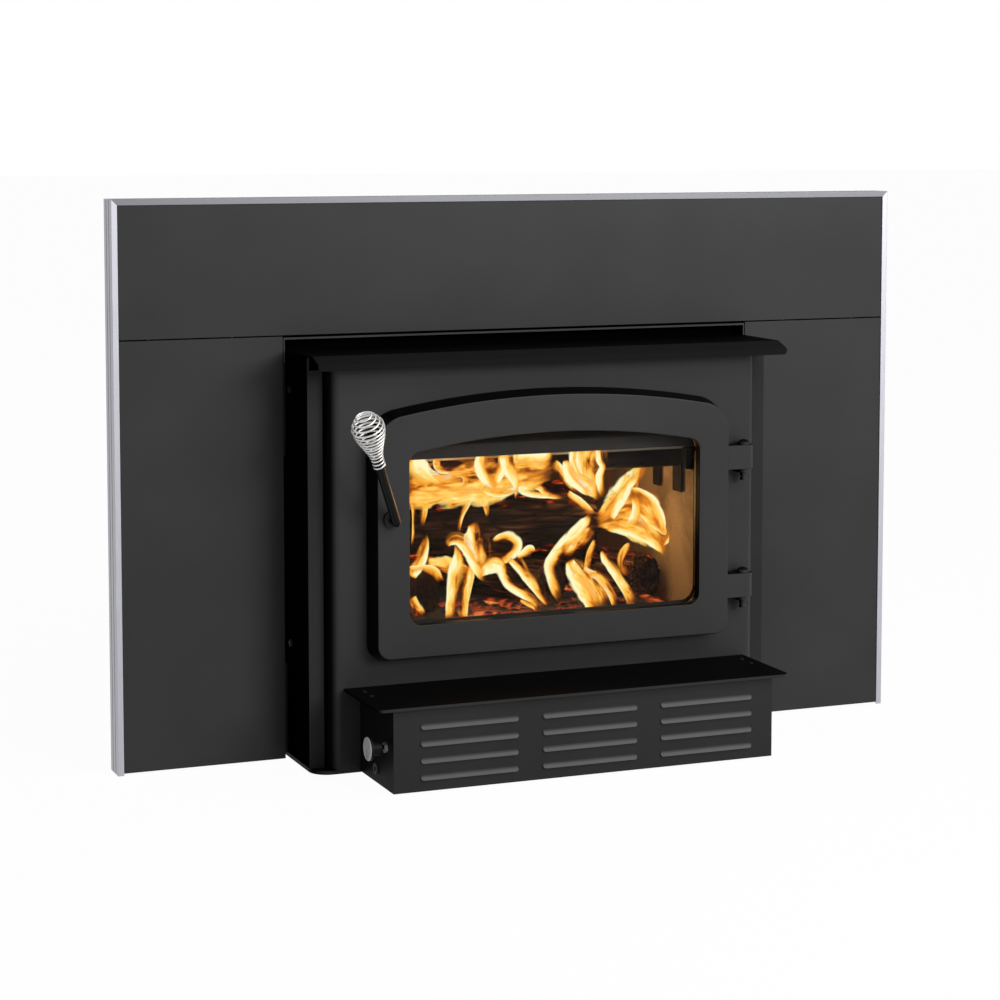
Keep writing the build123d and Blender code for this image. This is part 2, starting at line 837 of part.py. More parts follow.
def secondary_air_tubes():
    """Perforated tubes across the top of the fire."""
    pieces = []
    for y in tube_places():
        place = facing((0, y, tube_height), (1, 0, 0))
        length = 2 * (channel_inner + channel_sheet + slip_gap)
        tube = place * (Cylinder(tube_radius, length) - Cylinder(tube_radius - tube_wall, length))
        first = tube_hole_end - length / 2
        for index in range(tube_hole_count):
            start = (first * (1 - 2 * index / (tube_hole_count - 1)), y, tube_height)
            end = (start[0], y - 2 * tube_radius, tube_height - tube_radius)
            tube -= rod_between(start, end, tube_hole_radius)
        pieces.append(tube)
    return group(pieces)


def air_channels():
    """Side channels that feed the tubes, standing on the side bricks."""
    low, high = channel_bottom, channel_bottom + channel_height
    outer = span((channel_inner, firebox_inner), (channel_front, channel_back), (low, high))
    hollow = span((channel_inner + channel_sheet, firebox_inner - channel_sheet),
                  (channel_front + channel_sheet, channel_back - channel_sheet),
                  (low + channel_sheet, high - channel_sheet))
    channel = outer - hollow
    for y in tube_places():
        place = facing((channel_inner, y, tube_height), (1, 0, 0))
        channel -= place * Cylinder(tube_radius + running_gap, 4 * channel_sheet)
    return both_sides(channel)


def tube_brackets():
    """Plates that hang below the channels beside the first two tubes."""
    pieces = []
    for y, width in zip(tube_places(), bracket_widths):
        plate = span((channel_inner - bracket_sheet, channel_inner), (y - width / 2, y + width / 2),
                     (bracket_bottom, board_bottom))
        place = facing((channel_inner, y, tube_height), (1, 0, 0))
        plate -= place * Cylinder(tube_radius + running_gap, 4 * bracket_sheet)
        pieces += [plate, mirrored(plate)]
    return group(pieces)


def baffle_boards():
    board = span((board_gap / 2, firebox_inner - board_gap), (board_front, brick_back_front),
                 (board_bottom, board_bottom + board_thickness))
    channel_top = channel_bottom + channel_height
    board -= span((channel_inner - board_gap, firebox_inner),
                  (board_front - cut_past, brick_back_front + cut_past),
                  (board_bottom - cut_past, channel_top + seat_gap))
    return both_sides(board)


def insulation_blanket():
    low = board_bottom + board_thickness
    return span((-firebox_inner + board_gap, firebox_inner - board_gap), (board_front, brick_back_front),
                (low, low + blanket_thickness))


def airwash_deflector():
    """A folded sheet hung from the firebox roof, behind the top of the window."""
    band_top = deflector_bottom + deflector_band
    back = deflector_front + deflector_slope
    profile = folded_strip([(deflector_front, deflector_bottom), (deflector_front, band_top),
                            (back, band_top + deflector_slope), (back, firebox_roof_under)],
                           deflector_sheet)
    return lengthwise(profile, -firebox_inner, firebox_inner)


# ---------------------------------------------------------------- logs
def log_flat(radius):
    """Distance from a log's axis to each of its flats."""
    return radius * cos(pi / log_facets)


def split_log(x, y, height, turn, length, radius):
    """A log with a flat-sided section, lying level on one of its flats."""
    section = RegularPolygon(radius, log_facets, rotation=180 / log_facets)
    section = fillet(section.vertices(), radius * 0.25)
    side = (-sin(radians(turn)), cos(radians(turn)), 0)
    direction = (cos(radians(turn)), sin(radians(turn)), 0)
    place = Plane(origin=(x, y, height + log_flat(radius)), x_dir=side, z_dir=direction)
    return place * Pos(0, 0, -length / 2) * extrude(section, amount=length)


def logs_lower():
    """Logs side by side on the brick floor, their ends towards the door."""
    outer = brick_side_inner - lower_log_side_gap
    places = zip((-outer, middle_log_x, outer), lower_log_turn)
    return group(split_log(x, lower_log_y, brick_floor_top, turn, lower_log_length, lower_log_radius)
                 for x, turn in places)


def logs_upper():
    """Logs laid across the lower ones."""
    height = brick_floor_top + 2 * log_flat(lower_log_radius)
    logs = []
    for left, right, y, turn in zip(upper_log_left_gap, upper_log_right_gap, upper_log_y, upper_log_turn):
        length = 2 * brick_side_inner - left - right
        logs.append(split_log((left - right) / 2, y, height, turn, length, upper_log_radius))
    return group(logs)


# ---------------------------------------------------------------- door
def door_body():
    """The cast frame: drafted outline, window, glass seat, rope groove and handle bore."""
    front = Plane.XZ.offset(-door_front) * door_outline(0)
    back = Plane.XZ.offset(-door_back) * door_outline(door_draft)
    frame = loft([front, back], ruled=True)
    frame = fillet(frame.edges().filter_by_position(Axis.Y, door_front - 0.01, door_front + 0.01),
                   door_edge_round)
    frame -= upright(window_outline(0), door_front - cut_past, door_back + cut_past)
    frame -= upright(window_outline(glass_lap + slip_gap), glass_seat, door_back + cut_past)
    frame -= upright(window_outline(retainer_outer + slip_gap), glass_rear, door_back + cut_past)
    groove = (door_outline(door_draft - rope_margin)
              - door_outline(door_draft - rope_margin - rope_width))
    frame -= upright(groove, door_back - rope_groove, door_back + cut_past)
    frame -= facing((handle_x, door_front, handle_z), (0, 1, 0)) * Cylinder(
        shaft_radius + running_gap, 4 * (door_back - door_front))
    return frame


def door_frame():
    frame = door_body()
    face_edges = frame.edges().filter_by_position(Axis.Y, door_front - 0.01, door_front + 0.01)
    rim = [edge for edge in face_edges if abs(edge.center().X) < window_half_width + cut_past
           and window_bottom - cut_past < edge.center().Z < window_crown + cut_past]
    frame = fillet(rim, window_edge_round)
    for point in retainer_screw_places():
        frame -= facing(point, (0, 1, 0)) * Cylinder(hole_radius, 2 * retainer_screw_depth)
    return frame


def door_glass():
    return upright(window_outline(glass_lap), glass_front, glass_rear)


def glass_gasket():
    ring = window_outline(glass_lap) - window_outline(retainer_inner)
    return upright(ring, glass_seat, glass_front)


def retainer_screw_places():
    """Screws beside the glass, from the back of the door."""
    reach = glass_lap + (retainer_outer - glass_lap) / 2
    side = window_half_width + reach
    low = window_bottom - reach
    middle = (window_bottom + window_crown) / 2
    points = [(side * sign, glass_rear, middle + rise)
              for sign in (-1, 1) for rise in retainer_screw_rise]
    arch = window_arch_radius + reach
    high = window_crown - window_arch_radius + sqrt(arch ** 2 - retainer_screw_x ** 2)
    points += [(x, glass_rear, z) for x in (-retainer_screw_x, retainer_screw_x) for z in (low, high)]
    return points


def glass_retainers():
    """Four flat bars that hold the glass, with their screws."""
    ring = window_outline(retainer_outer) - window_outline(retainer_inner)
    bars = upright(ring, glass_rear, retainer_rear)
    corner_x = window_half_width - window_corner
    for height in (window_bottom + window_corner, window_crown - window_corner * 2.5):
        bars -= span((-2 * corner_x, 2 * corner_x), (glass_rear - cut_past, retainer_rear + cut_past),
                     (height, height + retainer_bar_gap))
    shank = retainer_thickness + retainer_screw_depth * 0.8
    pieces = []
    for x, y, z in retainer_screw_places():
        bars -= facing((x, y, z), (0, 1, 0)) * Cylinder(hole_radius, 6 * retainer_thickness)
        pieces.append(facing((x, retainer_rear, z), (0, 1, 0)) * screw(
            retainer_screw_head_radius, retainer_screw_head_height, shank))
    return group(list(bars.solids()) + pieces)


def door_gasket():
    """The rope in the groove, standing just proud of the door's back."""
    ring = (door_outline(door_draft - rope_margin - slip_gap)
            - door_outline(door_draft - rope_margin - rope_width + slip_gap))
    return upright(ring, door_back - rope_groove, front_plate_front - seat_gap)


# ---------------------------------------------------------------- hinges
def hinge_lug_blank(low):
    """A lug before it is fitted to the door's side: rounded about the pin."""
    high = low + hinge_lug_height
    front = hinge_y - hinge_lug_radius
    back = hinge_y + hinge_lug_radius
    block = span((door_half_width - 2 * hinge_lug_radius, hinge_x), (front, min(back, door_back)),
                 (low, high))
    eye = Pos(hinge_x, hinge_y, (low + high) / 2) * Cylinder(hinge_lug_radius, hinge_lug_height)
    return block + eye


def door_hinge_lugs(frame):
    pieces = []
    for low in hinge_lug_bottoms:
        lug = hinge_lug_blank(low) - frame
        lug = lug.solids().sort_by(Axis.X)[-1]
        bore = Pos(hinge_x, hinge_y, low + hinge_lug_height / 2) * Cylinder(
            pin_radius + running_gap, 2 * hinge_lug_height)
        pieces.append(lug - bore)
    return group(pieces)


def hinge_tongues():
    """Fixed tongues under the lugs, welded to the front plate."""
    pieces = []
    for low in hinge_lug_bottoms:
        z = (low - seat_gap - tongue_thickness, low - seat_gap)
        arm = span((hinge_x - tongue_radius, hinge_x + tongue_radius), (hinge_y, front_plate_front), z)
        eye = Pos(hinge_x, hinge_y, (z[0] + z[1]) / 2) * Cylinder(tongue_radius, tongue_thickness)
        bore = Pos(hinge_x, hinge_y, z[0]) * Cylinder(pin_radius + running_gap / 2, 4 * tongue_thickness)
        pieces.append(arm + eye - bore)
    return group(pieces)


def hinge_pins():
    """Pins with domed heads, each with a cotter through its tail."""
    pieces = []
    for low, bottom in zip(hinge_lug_bottoms, pin_bottoms):
        seat = low + hinge_lug_height + seat_gap
        shank = rod_between((hinge_x, hinge_y, bottom), (hinge_x, hinge_y, seat), pin_radius)
        dome_radius = (pin_head_radius ** 2 + pin_head_height ** 2) / (2 * pin_head_height)
        ball = Pos(hinge_x, hinge_y, seat + pin_head_height - dome_radius) * Sphere(dome_radius)
        keep = Pos(hinge_x, hinge_y, seat + pin_head_height) * Box(
            2 * dome_radius, 2 * dome_radius, 2 * pin_head_height)
        cross = cotter_bar(bottom, cotter_radius + running_gap)
        pieces += [shank + (ball & keep) - cross, cotter_bar(bottom, cotter_radius)]
    return group(pieces)


def cotter_bar(bottom, radius):
    height = bottom + cotter_drop
    half = cotter_length / 2
    return rod_between((hinge_x - half, hinge_y, height), (hinge_x + half, hinge_y, height), radius)


# ---------------------------------------------------------------- handle and latch
rod_direction = Vector(-rod_side_lean, -rod_front_lean, 1).normalized()
rod_origin = Vector(handle_x, rod_y, handle_z)


def along_rod(distance):
    point = rod_origin + rod_direction * distance
    return (point.X, point.Y, point.Z)


def handle_boss():
    ring = Circle(boss_radius) - Circle(shaft_radius + running_gap)
    place = facing((handle_x, door_front - boss_height, handle_z), (0, 1, 0))
    return extrude(place * ring, amount=boss_height)


def handle_rod():
    """The shaft through the door with the bar welded across its front end."""
    shaft = rod_between((handle_x, rod_y, handle_z), (handle_x, latch_rear + latch_nut_height, handle_z),
                        shaft_radius)
    foot = along_rod(rod_radius - rod_tail)
    bar = rod_between(foot, along_rod(rod_length), rod_radius)
    return shaft + bar + Pos(*foot) * Sphere(rod_radius)


def grip_radius(fraction):
    """Radius of the coil's centre line along the grip, from neck to open end."""
    swell = grip_bulb_radius - grip_neck_radius
    close = grip_bulb_radius - grip_end_radius
    if fraction < grip_neck_end:
        return grip_neck_radius
    if fraction < grip_widest:
        rise = (fraction - grip_neck_end) / (grip_widest - grip_neck_end)
        return grip_neck_radius + swell * (1 - cos(pi * rise)) / 2
    fall = (fraction - grip_widest) / (1 - grip_widest)
    return grip_bulb_radius - close * fall ** 1.2


def spring_grip():
    """The wound grip as a ribbed bulb: one rib for each turn of the wire."""
    stations = []
    for turn in range(grip_turns):
        fraction = turn / (grip_turns - 1)
        stations.append((grip_radius(fraction), grip_wire / 2 + fraction * (grip_length - grip_wire)))
    inner = [(radius - grip_band / 2, height) for radius, height in stations]
    outer = [(radius + grip_band / 2, height) for radius, height in stations]
    section = make_face(Polyline(*inner, *reversed(outer), close=True))
    for radius, height in stations:
        section += Pos(radius, height) * Circle(grip_wire / 2)
    bulb = revolve(Plane.XZ * section, axis=Axis.Z)
    place = Plane(origin=along_rod(grip_start), z_dir=rod_direction)
    return place * bulb


def latch_finger():
    """The finger behind the front plate. It points up while released."""
    place = facing((handle_x, latch_front, handle_z), (0, 1, 0))
    hub = place * extrude(Circle(collar_radius), latch_thickness)
    finger = span((handle_x - latch_half_height, handle_x + latch_half_height), (latch_front, latch_rear),
                  (handle_z, handle_z + latch_reach))
    top = [edge for edge in finger.edges().filter_by(Axis.Y) if edge.center().Z > handle_z + latch_reach / 2]
    finger = fillet(top, latch_half_height / 2)
    return hub + finger - place * Cylinder(shaft_radius + running_gap, 4 * latch_thickness)


def latch_nut():
    place = facing((handle_x, latch_rear, handle_z), (0, 1, 0))
    nut = extrude(RegularPolygon(latch_nut_radius, 6), amount=latch_nut_height)
    return place * (nut - Cylinder(shaft_radius + running_gap, 4 * latch_nut_height))


# ---------------------------------------------------------------- primary air control
def air_damper():
    """The sliding plate over the air inlet, with a lever that ends under the shelf's lip."""
    low = firebox_roof + seat_gap
    plate = span((damper_rest_x - damper_half_width, damper_rest_x + damper_half_width),
                 (air_inlet_front - damper_margin, air_inlet_back + damper_margin),
                 (low, low + damper_thickness))
    x = (damper_rest_x - lever_width / 2, damper_rest_x + lever_width / 2)
    middle = (air_inlet_front + air_inlet_back) / 2
    top = lever_height + lever_thickness
    post = span(x, (middle, middle + lever_thickness), (low + damper_thickness, top))
    arm = span(x, (lever_end, middle), (lever_height, top))
    tips = arm.edges().filter_by(Axis.Z).group_by(Axis.Y)[0]
    return plate + post + fillet(tips, lever_width * 0.4)


def damper_guides():
    """Folded strips that hold the damper down, welded to the roof."""
    pieces = []
    low = firebox_roof
    lip_low = low + seat_gap + damper_thickness + seat_gap
    front = air_inlet_front - damper_margin - seat_gap
    back = air_inlet_back + damper_margin + seat_gap
    x = (-guide_half_length, guide_half_length)
    for foot, lip in (((front - guide_sheet, front), (front - guide_sheet, front + guide_lip)),
                      ((back, back + guide_width), (back - guide_lip, back + guide_width))):
        pieces.append(span(x, foot, (low, lip_low)) + span(x, lip, (lip_low, lip_low + guide_sheet)))
    return group(pieces)


# ---------------------------------------------------------------- blower
def louvre_places():
    first_x = louvre_centre_x - louvre_pitch_x * (louvre_columns - 1) / 2
    first_z = louvre_centre_z - louvre_pitch_z * (louvre_rows - 1) / 2
    return [(first_x + column * louvre_pitch_x, first_z + row * louvre_pitch_z)
            for column in range(louvre_columns) for row in range(louvre_rows)]


def louvre_hood(x, z):
    """A pressed louvre: a skin that leans out from its top edge and is open below."""
    inner_front = blower_front + blower_sheet
    top = z + louvre_height / 2
    low = z - louvre_height / 2
    skin = make_face(Polyline((blower_front, top), (blower_front - louvre_reach, low),
                              (blower_front - louvre_reach + louvre_skin, low),
                              (inner_front, top - louvre_skin), (inner_front, top), close=True))
    hood = lengthwise(skin, x - louvre_length / 2, x + louvre_length / 2)
    slot = Pos(x, z) * SlotOverall(louvre_length, louvre_height)
    return hood & upright(slot, blower_front - louvre_reach - cut_past, inner_front)


def blower_housing():
    """The open-topped box in front of the stove, with rows of louvres."""
    half = blower_half_width
    inner = half - blower_sheet
    low = blower_bottom + blower_sheet
    box = span((-half, half), (blower_front, front_plate_front), (blower_bottom, lid_bottom))
    box -= span((-inner, inner), (blower_front + blower_sheet, front_plate_front + cut_past),
                (low, lid_bottom + cut_past))
    flange = span((half - blower_flange, inner), (front_plate_front - blower_sheet, front_plate_front),
                  (low, lid_bottom))
    box += flange + mirrored(flange)
    slots = [upright(Pos(x, z) * SlotOverall(louvre_length, louvre_height),
                     blower_front - cut_past, blower_front + blower_sheet) for x, z in louvre_places()]
    box = box - slots
    for x, z in louvre_places():
        box += louvre_hood(x, z)
    for y, z, radius in ((knob_y, knob_z, control_bush_radius), (grommet_y, grommet_z, grommet_radius)):
        box -= facing((-half, y, z), (1, 0, 0)) * Cylinder(radius + screw_hole_gap, 4 * blower_sheet)
    return box


def blower_lid():
    back = front_plate_front - lid_back_gap
    outline = Pos(0, (lid_front + back) / 2) * Rectangle(2 * lid_half_width, back - lid_front)
    outline = fillet(outline.vertices().group_by(Axis.Y)[0], lid_corner)
    lid = level(outline, lid_bottom, lid_top)
    return fillet(lid.edges().group_by(Axis.Z)[-1], lid_thickness * 0.25)


def blower_lid_screws():
    pieces = []
    for y in lid_screw_y:
        head = Pos(lid_screw_x, y, lid_top) * Cylinder(
            lid_screw_head_radius, lid_screw_head_height, align=(Align.CENTER, Align.CENTER, Align.MIN))
        pieces.append(fillet(head.edges().group_by(Axis.Z)[-1], lid_screw_head_height * 0.5))
    return group(pieces + [mirrored(piece) for piece in pieces])


def scroll_housings():
    """Two volutes on saddles: a round shell about each wheel, with an outlet to the front plate."""
    low, high = fan_z + scroll_radius - air_window_height, fan_z + scroll_radius
    left, right = fan_wheel_centre - scroll_half_length, fan_wheel_centre + scroll_half_length
    place = facing(((left + right) / 2, fan_y, fan_z), (1, 0, 0))
    outer = place * Cylinder(scroll_radius, right - left)
    outer += span((left, right), (fan_y, front_plate_front), (low, high))
    sheet = scroll_sheet
    inner = place * Cylinder(scroll_radius - sheet, right - left - 2 * sheet)
    inner += span((left + sheet, right - sheet), (fan_y, front_plate_front + cut_past),
                  (low + sheet, high - sheet))
    shell = outer - inner - place * Cylinder(scroll_eye_radius, 2 * (right - left))
    foot = span((fan_wheel_centre - scroll_half_length / 2, fan_wheel_centre + scroll_half_length / 2),
                (fan_y - scroll_half_length / 2, fan_y + scroll_half_length / 2),
                (blower_bottom + blower_sheet, fan_z))
    foot -= place * Cylinder(scroll_radius + slip_gap, 4 * scroll_half_length)
    pieces = [shell, foot]
    return group(pieces + [mirrored(piece) for piece in pieces])


def fan():
    """One shaft with a squirrel-cage wheel at each end: end plate, hub, blades and ring."""
    half = fan_wheel_length / 2
    wheel = Pos(0, 0, -half + fan_plate / 2) * Cylinder(fan_wheel_radius, fan_plate)
    wheel += Pos(0, 0, -half + fan_plate + fan_hub_radius / 2) * Cylinder(fan_hub_radius, fan_hub_radius)
    wheel += Pos(0, 0, half - fan_plate / 2) * (
        Cylinder(fan_wheel_radius, fan_plate) - Cylinder(fan_wheel_inner, fan_plate))
    blade = Pos((fan_wheel_radius + fan_wheel_inner) / 2, 0, 0) * Box(
        fan_wheel_radius - fan_wheel_inner - fan_blade_sheet, fan_blade_sheet, fan_wheel_length)
    for index in range(fan_blades):
        wheel += Rot(0, 0, index * 360 / fan_blades) * blade
    wheel -= Cylinder(fan_shaft_radius + running_gap / 2, 2 * fan_wheel_length)
    wheel = facing((fan_wheel_centre, fan_y, fan_z), (1, 0, 0)) * wheel
    shaft = rod_between((-fan_shaft_half_length, fan_y, fan_z), (fan_shaft_half_length, fan_y, fan_z),
                        fan_shaft_radius)
    return group([wheel, mirrored(wheel), shaft])


def fan_motor():
    place = facing((0, fan_y, fan_z), (1, 0, 0))
    body = Cylinder(motor_radius, 2 * motor_half_length)
    body = fillet(body.edges().filter_by(GeomType.CIRCLE), motor_radius * 0.15)
    body += Cylinder(motor_end_radius, 2 * (motor_half_length + motor_end_length))
    motor = place * (body - Cylinder(fan_shaft_radius + running_gap, 4 * motor_half_length))
    return group([motor, motor_cradle()])


def motor_cradle():
    """A saddle under the motor, standing on the floor of the blower box."""
    low = blower_bottom + blower_sheet
    x, inner_x = cradle_half_length, cradle_half_length - cradle_sheet
    y, inner_y = cradle_half_width, cradle_half_width - cradle_sheet
    saddle = span((-x, x), (fan_y - y, fan_y + y), (low, fan_z - motor_radius * 0.3))
    saddle -= span((-inner_x, inner_x), (fan_y - inner_y, fan_y + inner_y), (low + cradle_sheet, fan_z))
    place = facing((0, fan_y, fan_z), (1, 0, 0))
    return saddle - place * Cylinder(motor_radius + slip_gap, 6 * cradle_half_length)


# ---------------------------------------------------------------- speed control, cord inlet
def side_point(out):
    """A point on the control's axis, a distance out from the box's left side."""
    return (-blower_half_width - out, knob_y, knob_z)


def speed_control():
    """The control's body inside the box, its bush through the side, and the panel nut."""
    inside = -blower_sheet - seat_gap
    body = rod_between(side_point(inside - control_body_length), side_point(inside), control_body_radius)
    bush = rod_between(side_point(inside), side_point(control_nut_height + cut_past), control_bush_radius)
    bore = rod_between(side_point(inside - control_body_length / 2),
                       side_point(control_nut_height + 2 * cut_past), control_shaft_radius + running_gap)
    return group([body + bush - bore, control_nut()])


def control_nut():
    place = facing(side_point(slip_gap), (-1, 0, 0))
    nut = extrude(RegularPolygon(control_nut_radius, 6), amount=control_nut_height)
    return place * (nut - Cylinder(control_bush_radius + slip_gap, 4 * control_nut_height))


def speed_knob():
    """Barrel, face disc and pointer groove, on its own shaft."""
    face = knob_reach
    barrel_end = face - knob_disc_thickness
    shaft = rod_between(side_point(-blower_sheet - seat_gap - control_body_length * 0.4),
                        side_point(barrel_end), control_shaft_radius)
    barrel = rod_between(side_point(barrel_end - knob_barrel_length), side_point(barrel_end),
                         knob_barrel_radius)
    disc = rod_between(side_point(barrel_end), side_point(face), knob_disc_radius)
    disc = fillet(disc.edges().filter_by(GeomType.CIRCLE), knob_disc_thickness * 0.2)
    low = knob_z - knob_disc_radius * 0.9
    pointer = span((-blower_half_width - face, -blower_half_width - face + knob_pointer_depth),
                   (knob_y - knob_pointer_width / 2, knob_y + knob_pointer_width / 2), (low, knob_z))
    return shaft + barrel + disc - pointer


def cord_grommet():
    place = facing((-blower_half_width + blower_sheet, grommet_y, grommet_z), (-1, 0, 0))
    sleeve = extrude(Circle(grommet_radius), amount=blower_sheet)
    flange = Pos(0, 0, blower_sheet) * extrude(Circle(grommet_flange_radius), amount=grommet_flange)
    inner = Pos(0, 0, -grommet_flange) * extrude(Circle(grommet_flange_radius), amount=grommet_flange)
    body = sleeve + flange + inner
    return place * (body - Cylinder(grommet_bore, 8 * grommet_flange))


# ---------------------------------------------------------------- nodes
def build_nodes():
    frame = door_frame()
    right_panel = faceplate_right()
    left_trim = trim_left()
    right_side = casing_right()
    right_wall = firebox_right()
    return {
        "base_plate": base_plate(),
        "casing_right": right_side,
        "casing_left": mirrored(right_side),
        "casing_back": casing_back_sheet(),
        "casing_top": casing_roof(),
        "casing_spacers": casing_spacers(),
        "casing_screws": casing_screws(),
        "shelf": shelf(),
        "front_plate": front_plate(),
        "firebox_floor": firebox_floor_plate(),
        "firebox_right": right_wall,
        "firebox_left": mirrored(right_wall),
        "firebox_back": firebox_back_plate(),
        "firebox_roof": firebox_roof_plate(),
        "firebox_legs": firebox_legs(),
        "flue_collar": flue_collar(),
        "firebricks_floor": firebricks_floor(),
        "firebricks_walls": firebricks_walls(),
        "secondary_air_tubes": secondary_air_tubes(),
        "air_channels": air_channels(),
        "tube_brackets": tube_brackets(),
        "baffle_boards": baffle_boards(),
        "insulation_blanket": insulation_blanket(),
        "airwash_deflector": airwash_deflector(),
        "logs_lower": logs_lower(),
        "logs_upper": logs_upper(),
        "faceplate_right": right_panel,
        "faceplate_left": mirrored(right_panel),
        "faceplate_top": faceplate_top(),
        "opening_header": opening_header(),
        "trim_left": left_trim,
        "trim_right": mirrored(left_trim),
        "trim_top": trim_top(),
        "trim_corner_keys": trim_corner_keys(),
        "faceplate_brackets": faceplate_brackets(),
        "faceplate_screws": faceplate_screws(),
        "door_frame": frame,
        "door_glass": door_glass(),
        "glass_gasket": glass_gasket(),
        "glass_retainers": glass_retainers(),
        "door_gasket": door_gasket(),
        "door_hinge_lugs": door_hinge_lugs(frame),
        "handle_boss": handle_boss(),
        "hinge_tongues": hinge_tongues(),
        "hinge_pins": hinge_pins(),
        "handle_rod": handle_rod(),
        "spring_grip": spring_grip(),
        "latch_finger": latch_finger(),
        "latch_nut": latch_nut(),
        "air_damper": air_damper(),
        "damper_guides": damper_guides(),
        "blower_housing": blower_housing(),
        "blower_lid": blower_lid(),
        "blower_lid_screws": blower_lid_screws(),
        "blower_fan": fan(),
        "blower_scrolls": scroll_housings(),
        "blower_motor": fan_motor(),
        "speed_control": speed_control(),
        "speed_knob": speed_knob(),
        "cord_grommet": cord_grommet(),
    }


os.makedirs("parts", exist_ok=True)
for name, shape in build_nodes().items():
    export_step(shape, "parts/" + name + ".step")
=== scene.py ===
from math import atan2, cos, pi, radians, sin

import bmesh
import bpy
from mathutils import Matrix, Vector, noise


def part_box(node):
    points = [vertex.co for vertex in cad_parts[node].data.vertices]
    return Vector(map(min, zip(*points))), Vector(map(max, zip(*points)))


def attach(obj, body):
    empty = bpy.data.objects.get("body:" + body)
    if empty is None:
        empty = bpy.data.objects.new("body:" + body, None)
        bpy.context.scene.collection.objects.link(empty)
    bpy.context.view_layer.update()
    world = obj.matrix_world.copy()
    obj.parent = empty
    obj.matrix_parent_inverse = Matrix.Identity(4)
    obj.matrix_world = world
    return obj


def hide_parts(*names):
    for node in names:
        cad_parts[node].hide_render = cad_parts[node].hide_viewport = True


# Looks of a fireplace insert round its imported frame. Metres; X right, Y into the wall, Z up.

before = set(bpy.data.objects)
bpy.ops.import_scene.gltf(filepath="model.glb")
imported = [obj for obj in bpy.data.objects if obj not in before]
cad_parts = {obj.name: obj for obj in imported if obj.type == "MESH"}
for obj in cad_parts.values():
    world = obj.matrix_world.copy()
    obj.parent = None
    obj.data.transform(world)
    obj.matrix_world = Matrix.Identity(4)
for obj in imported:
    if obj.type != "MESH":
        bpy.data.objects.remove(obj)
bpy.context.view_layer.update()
scene = bpy.context.scene
scene.view_settings.view_transform = "Standard"
noise.seed_set(1)                  # otherwise noise_vector starts from the clock


# ---------------------------------------------------------------- camera
camera_place = Vector((-1.3091, -3.1653, 0.8275))
camera_turn = radians(21.97)       # towards +X
camera_tilt = radians(5.0)         # downwards
camera_lens = 92.243
camera_shift = -0.1492


def make_camera():
    data = bpy.data.cameras.new("photo_camera")
    data.lens = camera_lens
    data.shift_y = camera_shift
    camera = bpy.data.objects.new("photo_camera", data)
    camera.location = camera_place
    camera.rotation_euler = (pi / 2 - camera_tilt, 0, -camera_turn)
    scene.collection.objects.link(camera)
    scene.camera = camera


# ---------------------------------------------------------------- node helpers
class Finish:
    """A material: one Principled shader and the nodes that feed it."""

    def __init__(self, name, **sockets):
        self.material = bpy.data.materials.new(name)
        self.material.use_nodes = True
        self.tree = self.material.node_tree
        self.shader = self.tree.nodes["Principled BSDF"]
        for socket, value in sockets.items():
            self.shader.inputs[socket.replace("_", " ")].default_value = value
        self.place = self.add("ShaderNodeTexCoord").outputs["Object"]

    def add(self, kind, inputs=(), **settings):
        """A node, with its settings and with each input linked or set."""
        node = self.tree.nodes.new(kind)
        for name, value in settings.items():
            setattr(node, name, value)
        for key, value in dict(inputs).items():
            if isinstance(value, bpy.types.NodeSocket):
                self.tree.links.new(value, node.inputs[key])
            else:
                node.inputs[key].default_value = value
        return node

    def feed(self, socket, output):
        self.tree.links.new(output, self.shader.inputs[socket])

    def noise(self, scale, detail=3.0, rough=0.5, stretch=(1, 1, 1), place=None, warp=0.0):
        spread = self.add("ShaderNodeMapping", {0: place or self.place, 3: stretch})
        settings = {"Vector": spread.outputs[0], "Scale": scale, "Detail": detail,
                    "Roughness": rough, "Distortion": warp}
        return self.add("ShaderNodeTexNoise", settings).outputs["Fac"]

    def attribute(self, name):
        return self.add("ShaderNodeAttribute", attribute_name=name).outputs["Fac"]

    def vector(self, name):
        return self.add("ShaderNodeAttribute", attribute_name=name).outputs["Vector"]

    def parts(self, vector):
        """The X, Y and Z of a vector."""
        return self.add("ShaderNodeSeparateXYZ", {0: vector}).outputs

    def math(self, operation, *values, clamp=False):
        node = self.add("ShaderNodeMath", enumerate(values), operation=operation, use_clamp=clamp)
        return node.outputs[0]

    def span(self, value, low, high, start=0.0, end=1.0, kind="LINEAR"):
        """value from low..high to start..end, held at both ends."""
        inputs = {"Value": value, "From Min": low, "From Max": high, "To Min": start, "To Max": end}
        return self.add("ShaderNodeMapRange", inputs, interpolation_type=kind).outputs["Result"]

    def ease(self, value, low, high):
        """0 at low, 1 at high, and an S-curve between."""
        return self.span(value, low, high, kind="SMOOTHSTEP")

    def ramp(self, value, *stops):
        """Colour by value, from (position, (r, g, b)) stops."""
        node = self.add("ShaderNodeValToRGB", {"Fac": value})
        elements = node.color_ramp.elements
        elements.remove(elements[1])
        elements[0].position, elements[0].color = stops[0][0], (*stops[0][1], 1)
        for position, colour in stops[1:]:
            elements.new(position).color = (*colour, 1)
        return node.outputs["Color"]

    def mix(self, share, first, second):
        """Colour between two, each a socket or (r, g, b)."""
        node = self.add("ShaderNodeMix", data_type="RGBA")
        for index, value in ((0, share), (6, first), (7, second)):
            if isinstance(value, bpy.types.NodeSocket):
                self.tree.links.new(value, node.inputs[index])
            elif index:
                node.inputs[index].default_value = (*value, 1)
            else:
                node.inputs[index].default_value = value
        return node.outputs[2]

    def bump(self, height, depth):
        """Raises the surface by height, where 1 is depth metres."""
        node = self.add("ShaderNodeBump", {"Strength": 1.0, "Distance": depth, "Height": height})
        self.feed("Normal", node.outputs["Normal"])


